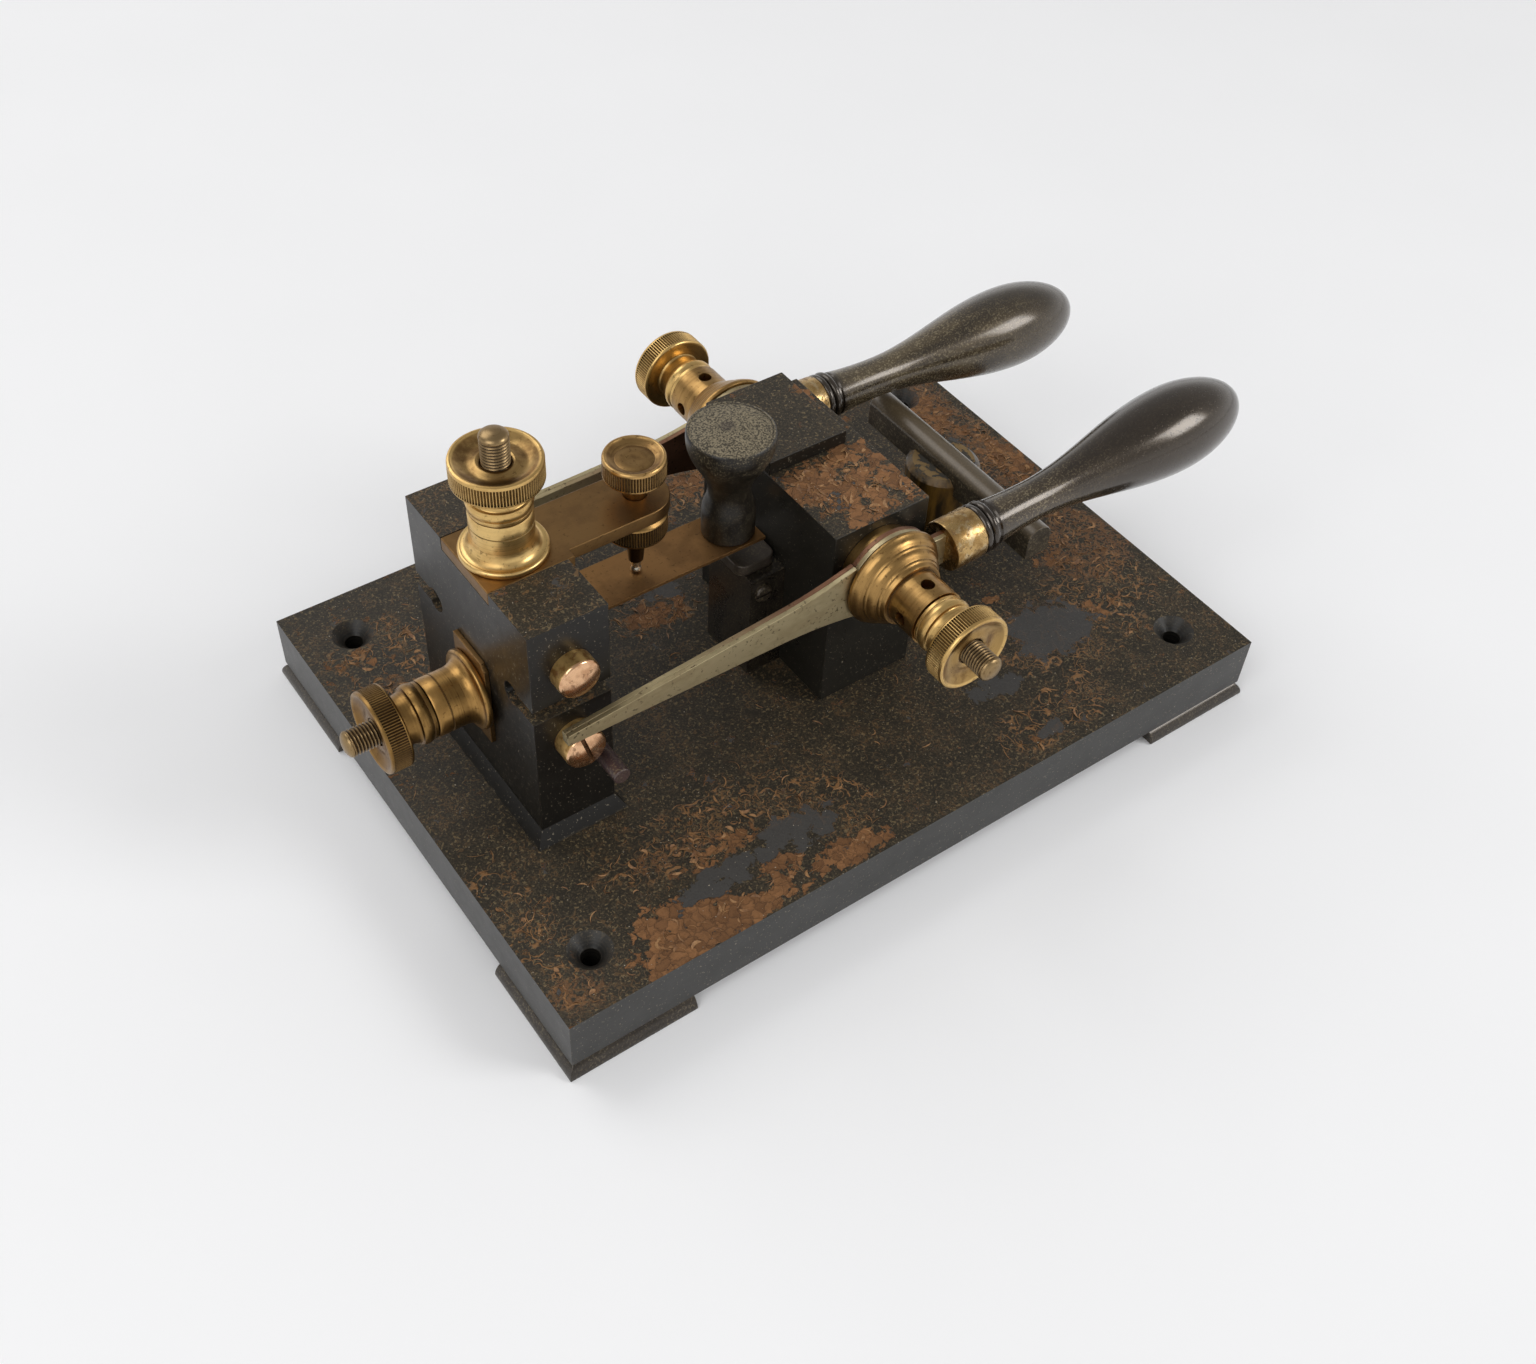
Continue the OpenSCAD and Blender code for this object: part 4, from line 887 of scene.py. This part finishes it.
# %% Contact screw and lock nut
screw_place = Vector(joints["contact_screw_turn"]["pos_m"]) / MM
upright = Vector((0, 0, 1))
fine_depth = 0.32
rows = [(1.3, -18.95), (1.7, -18.9), (2.45, -10.3)]
rows += [(2.5, -10.2), (2.5, 4.4), (2.6, 4.65)]
rows += [(5.6, 4.7), (6.3, 5.0), (6.85, 5.6), (6.85, 5.9), (6.85, 5.95), (6.85, 9.55), (6.85, 9.6)]
rows += [(6.85, 9.9), (6.65, 10.35), (6.35, 10.5), (6.1, 10.45)] + bowl(6.0, 4.4, 10.35, 0.1, 0.8, 6)
rows += [(4.25, 9.42), (4.1, 9.5), (2, 9.36), (0, 9.32)]
dip, count = knurl(70, 5.92, 9.57, 6.8, fine_depth)
mesh = lathe("screw_head", rows, screw_place, upright, count, dip, fine_depth)
contact_screw = show(
    "knurled_contact_screw", mesh, screw_brass, home["contact_screw"], "brass", "contact_screw")
rows = [(2.56, -3.55), (6.0, -3.55), (6.2, -3.65), (6.3, -3.95), (6.2, -4.3), (6.3, -4.5), (6.9, -4.8)]
rows += [(7.1, -5.1), (7.1, -5.25), (7.1, -5.3), (7.1, -9.35), (7.1, -9.4), (7.0, -9.8), (6.6, -10.15)]
rows += [(6.1, -10.25), (2.56, -10.25)]
dip, count = knurl(72, -9.37, -5.28, 7.05, fine_depth)
mesh = lathe("lock_nut_shape", rows, screw_place, upright, count, dip, fine_depth)
lock_nut = show("knurled_lock_nut", mesh, pivot_brass, home["lock_nut"], "brass", "lock_nut")
rows = [(0.3, -22.35), (0.95, -22.3), (1.2, -22.05), (1.2, -21.5), (0.95, -21.2), (0.9, -20.6)]
rows += [(1.15, -20.2), (1.2, -15.6)]
mesh = lathe("tip_shape", rows, screw_place, upright, 48)
show("silver_contact_tip", mesh, tip_silver, home["contact_tip"], "silver", "contact_tip")
print("contact screw", len(contact_screw.data.vertices), "lock nut", len(lock_nut.data.vertices))

# %% [markdown]
# ## Handles, ferrules and knob
# Two slim handles of polished hard rubber swell towards their ends and start with two small beads
# beside a brass ferrule. The front lever rests tilted up by about two and a half degrees, and the
# rear one down by nearly two. The knob is turned from the same stuff.

# %% Handles
tilts = {"front": math.radians(2.445), "rear": math.radians(-1.755)}
handle_drop, handle_reach, ferrule_length = 0.9, 24.8, 9
neck_end, swell_end, tip_length = 18, 62.8, 21.79
neck_radius, swell_radius = 4.9, 10.7


def handle_rows():
    turns = [math.pi * (i / 10 - 0.5) for i in range(11)]
    bead = [(5.2 + math.cos(t), 1 + math.sin(t)) for t in turns]
    rows = [(2.1, 0.02)] + bead + [(r, h + 2) for r, h in bead] + [(5.2, 4.6)]
    for i in range(60):
        x = 5 + (swell_end - 5) * i / 59
        if x < neck_end:
            radius = neck_radius + 1.3 * ((neck_end - x) / neck_end) ** 2
        else:
            turn = math.pi * (x - neck_end) / (swell_end - neck_end)
            radius = neck_radius + (swell_radius - neck_radius) * (1 - math.cos(turn)) / 2
        rows.append((radius, x))
    turns = [math.pi / 2 * i / 30 for i in range(1, 31)]
    return rows + [(swell_radius * math.cos(t), swell_end + tip_length * math.sin(t)) for t in turns]


pivot = Vector(joints["front_lever_swing"]["pos_m"]) / MM
collar = [(0, 0), (5.75, 0), (6.08, 0.12), (6.2, 0.4), (6.2, 8.55), (6.1, 8.85), (5.7, 9), (2, 9)]
for end, tilt in tilts.items():
    node = end + "_handle"
    low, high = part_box(node)
    middle = Vector((pivot.x, (low[1] + high[1]) / 2 / MM, pivot.z))
    axis = Vector((math.cos(tilt), 0, math.sin(tilt)))
    drop = Vector((math.sin(tilt), 0, -math.cos(tilt))) * handle_drop
    start = middle + drop + axis * handle_reach
    mesh = lathe(end + "_grip", handle_rows(), start, axis, 96)
    black = front_black if end == "front" else rear_black
    grip = show(end + "_turned_handle", mesh, black, home[node], "ebonite_turned", node)
    node = end + "_ferrule"
    mesh = lathe(end + "_collar", collar, start - axis * ferrule_length, axis, 96)
    ferrule = show(end + "_brass_ferrule", mesh, ferrule_brass, home[node], "brass", node)
    print(grip.name, len(grip.data.vertices), ferrule.name)

# %% Knob
def swell(r0, h0, r1, h1, steps=16):
    ease = [(1 - math.cos(math.pi * i / steps)) / 2 for i in range(steps + 1)]
    return [(r0 + (r1 - r0) * e, h0 + (h1 - h0) * i / steps) for i, e in enumerate(ease)]


rows = [(0, 0), (5.9, 0), (6.2, 0.3)] + swell(6.2, 6, 4.9, 12.3) + swell(4.9, 12.3, 10, 26.7)[1:]
rows += [(10.0, 28.3), (9.9, 28.75), (9.6, 29.0), (9.35, 28.98), (9.15, 28.78), (8.95, 28.86), (8.6, 29.0)]
rows += [(6, 29.4), (3, 29.75), (0, 29.9)]
low, high = (Vector(corner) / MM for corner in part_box("knob"))
knob_foot = Vector(((low.x + high.x) / 2, (low.y + high.y) / 2, low.z))
mesh = lathe("knob_shape", rows, knob_foot, upright, 96)
knob = show("turned_knob", mesh, knob_black, home["knob"], "ebonite_turned", "knob")
print("knob", len(knob.data.vertices))

# %% [markdown]
# ## Contacts
# Each side of the contact block carries two brass buttons with polished, slightly domed faces. The
# lower ones have a screwdriver slot. A turned dome shows the soft sweep of light that a flat face
# can't; the slot is cut by two pairs of planes, and what lies between them is pressed down.

# %% Contact buttons
def joined(name, meshes):
    shape = bmesh.new()
    for mesh in meshes:
        shape.from_mesh(mesh)
    return smooth_mesh(name, shape)


def press_slot(mesh, origin, axis, across, half, floor):
    shape = bmesh.new()
    shape.from_mesh(mesh)
    for reach in (half, 0.9 * half, -0.9 * half, -half):
        every = shape.verts[:] + shape.edges[:] + shape.faces[:]
        bmesh.ops.bisect_plane(shape, geom=every, plane_co=(origin + across * reach) * MM, plane_no=across)
    for vertex in shape.verts:
        arm = vertex.co / MM - origin
        if abs(arm.dot(across)) < 0.95 * half and arm.dot(axis) > floor:
            vertex.co += axis * (floor - arm.dot(axis)) * MM
    return smooth_mesh(mesh.name + "_slotted", shape)


def button(name, origin, axis, length, slot_across=None):
    rows = [(4.85, 0), (4.85, length - 1.75)]
    turns = [math.pi * i / 20 for i in range(9)]
    rows += [(4.05 + 0.8 * math.cos(t), length - 1.55 + 0.8 * math.sin(t)) for t in turns]
    rows += [(4.1 * (1 - i / 12), length - 0.75 + 0.75 * (1 - (1 - i / 12) ** 2)) for i in range(1, 13)]
    mesh = lathe(name, rows, origin, axis, 72)
    for mark in mesh.attributes["turned"].data:
        mark.vector = (mark.vector[0], mark.vector[1], 1.0 if mark.vector[0] > length - 1.4 else 0.0)
    if slot_across:
        return press_slot(mesh, origin, axis, slot_across, 0.5, length - 1.0)
    return mesh


slot_across = Vector((0.971, 0, 0.239))
for row, length, across in (("upper", 5.0, None), ("lower", 6.2, slot_across)):
    node = row + "_contacts"
    low, high = (Vector(corner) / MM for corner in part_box(node))
    x, y, z = places["top"][0].x, high.y - length, round((low.z + high.z) / 2, 1)
    pair = [button(row, Vector((x, y * way, z)), Vector((0, way, 0)), length, across) for way in (-1, 1)]
    mesh = joined(row + "_buttons", pair)
    made = show(row + "_contact_buttons", mesh, contact_rose, home[node], "rosy_brass", node)
    print(made.name, len(made.data.vertices))

# %% [markdown]
# ## Lifted flakes
# Where the old skin has let go, it stands up in small curls that throw shadows of their own, which
# no bump can do. Each curl is a narrow strip, bent in plan and rolled up along one side. A seeded
# draw scatters them over the same ellipses that colour the skin, clear of the blocks and holes.

# %% Flake finish
def flake_finish():
    material, at = finish("lifted_flakes")
    tint = step(noise(at, 2.2, 2), 0.38, 0.62)
    fine = noise(at, 0.5, 2)
    colour = mix(tint, tone(116, 80, 48), tone(156, 116, 74))
    colour = mix(step(fine, 0.50, 0.66) * 0.4, colour, tone(70, 48, 30))
    return paint(material, at, 0.02 * fine, Base_Color=colour, Roughness=0.56 + 0.16 * fine)


flake_rust = flake_finish()


# %% One curled flake
def curled_flake(shape, spot, turn, length, width, lift, sweep):
    rings = []
    for i in range(6):
        t = i / 5 - 0.5
        heading = turn + sweep * t
        bow = Vector((math.sin(heading) - math.sin(turn), math.cos(turn) - math.cos(heading), 0))
        side = Vector((-math.sin(heading), math.cos(heading), 0))
        taper = 1.08 - 4 * t * t
        middle = spot + bow * (length / sweep)
        edge = []
        for across, rise in ((-0.5, 0), (0.1, 0.3), (0.5, 1)):
            edge.append(middle + side * (width * taper * across) + Vector((0, 0, 0.04 + lift * taper * rise)))
        under = [point - Vector((0, 0, 0.07)) for point in reversed(edge)]
        rings.append([shape.verts.new(point * MM) for point in edge + under])
    for near, far in zip(rings, rings[1:]):
        for j in range(6):
            shape.faces.new((near[j], near[j - 1], far[j - 1], far[j]))
    shape.faces.new(rings[0])
    shape.faces.new(reversed(rings[-1]))


# %% Flakes scattered over the worn places
def worn_share(patches, x, y):
    reach = [(math.hypot((x - px) / wide, (y - py) / deep), share) for px, py, wide, deep, share in patches]
    return sum(share * min(1, max(0, (1.25 - far) / 0.95)) for far, share in reach)


def flakes(node, worn, standing, seed, curls, hairs):
    low, high = (Vector(corner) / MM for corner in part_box(node))
    keep_off = [[Vector(corner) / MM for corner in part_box(other)] for other in standing]
    draw = random.Random(seed)
    shape = bmesh.new()
    count = 0
    for i in range(curls + hairs):
        x, y = draw.uniform(low.x + 2.5, high.x - 2.5), draw.uniform(low.y + 2.5, high.y - 2.5)
        chance = 0.5 * worn_share(worn["curl"], x, y) + 0.5 * worn_share(worn["rust"], x, y)
        chance += 0.5 * worn_share(worn["fine"], x, y) - 0.8 * worn_share(worn["bare"], x, y) - 0.2
        length, width, lift = draw.uniform(1.2, 3.4), draw.uniform(0.3, 0.8), draw.uniform(0.08, 0.38)
        if i >= curls:
            chance, length, width, lift = 0.22 + chance, 1.3 * length, 0.35 * width, 0.4 * lift
        covered = any(a.x - 1 < x < b.x + 1 and a.y - 1 < y < b.y + 1 for a, b in keep_off)
        in_hole = math.hypot(abs(x) - hole_x, abs(y) - hole_y) < hole_reach + 1
        if draw.random() > chance or covered or in_hole:
            continue
        sweep = draw.choice((-1, 1)) * draw.uniform(0.5, 2.6)
        curled_flake(shape, Vector((x, y, high.z)), draw.uniform(0, 2 * math.pi), length, width, lift, sweep)
        count += 1
    bmesh.ops.recalc_face_normals(shape, faces=shape.faces)
    made = bpy.data.objects.new(node + "_flakes", smooth_mesh(node + "_flakes", shape))
    bpy.context.scene.collection.objects.link(made)
    made.data.materials.append(flake_rust)
    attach(made, home[node])
    print(made.name, count)


on_base = ("contact_block", "lever_block", "rest_pillar", "rest_post", "rest_plate")
flakes("base_plate", base_worn, on_base, 7, 3600, 2600)
flakes("lever_block", lever_worn, ("top_plate",), 11, 420, 60)
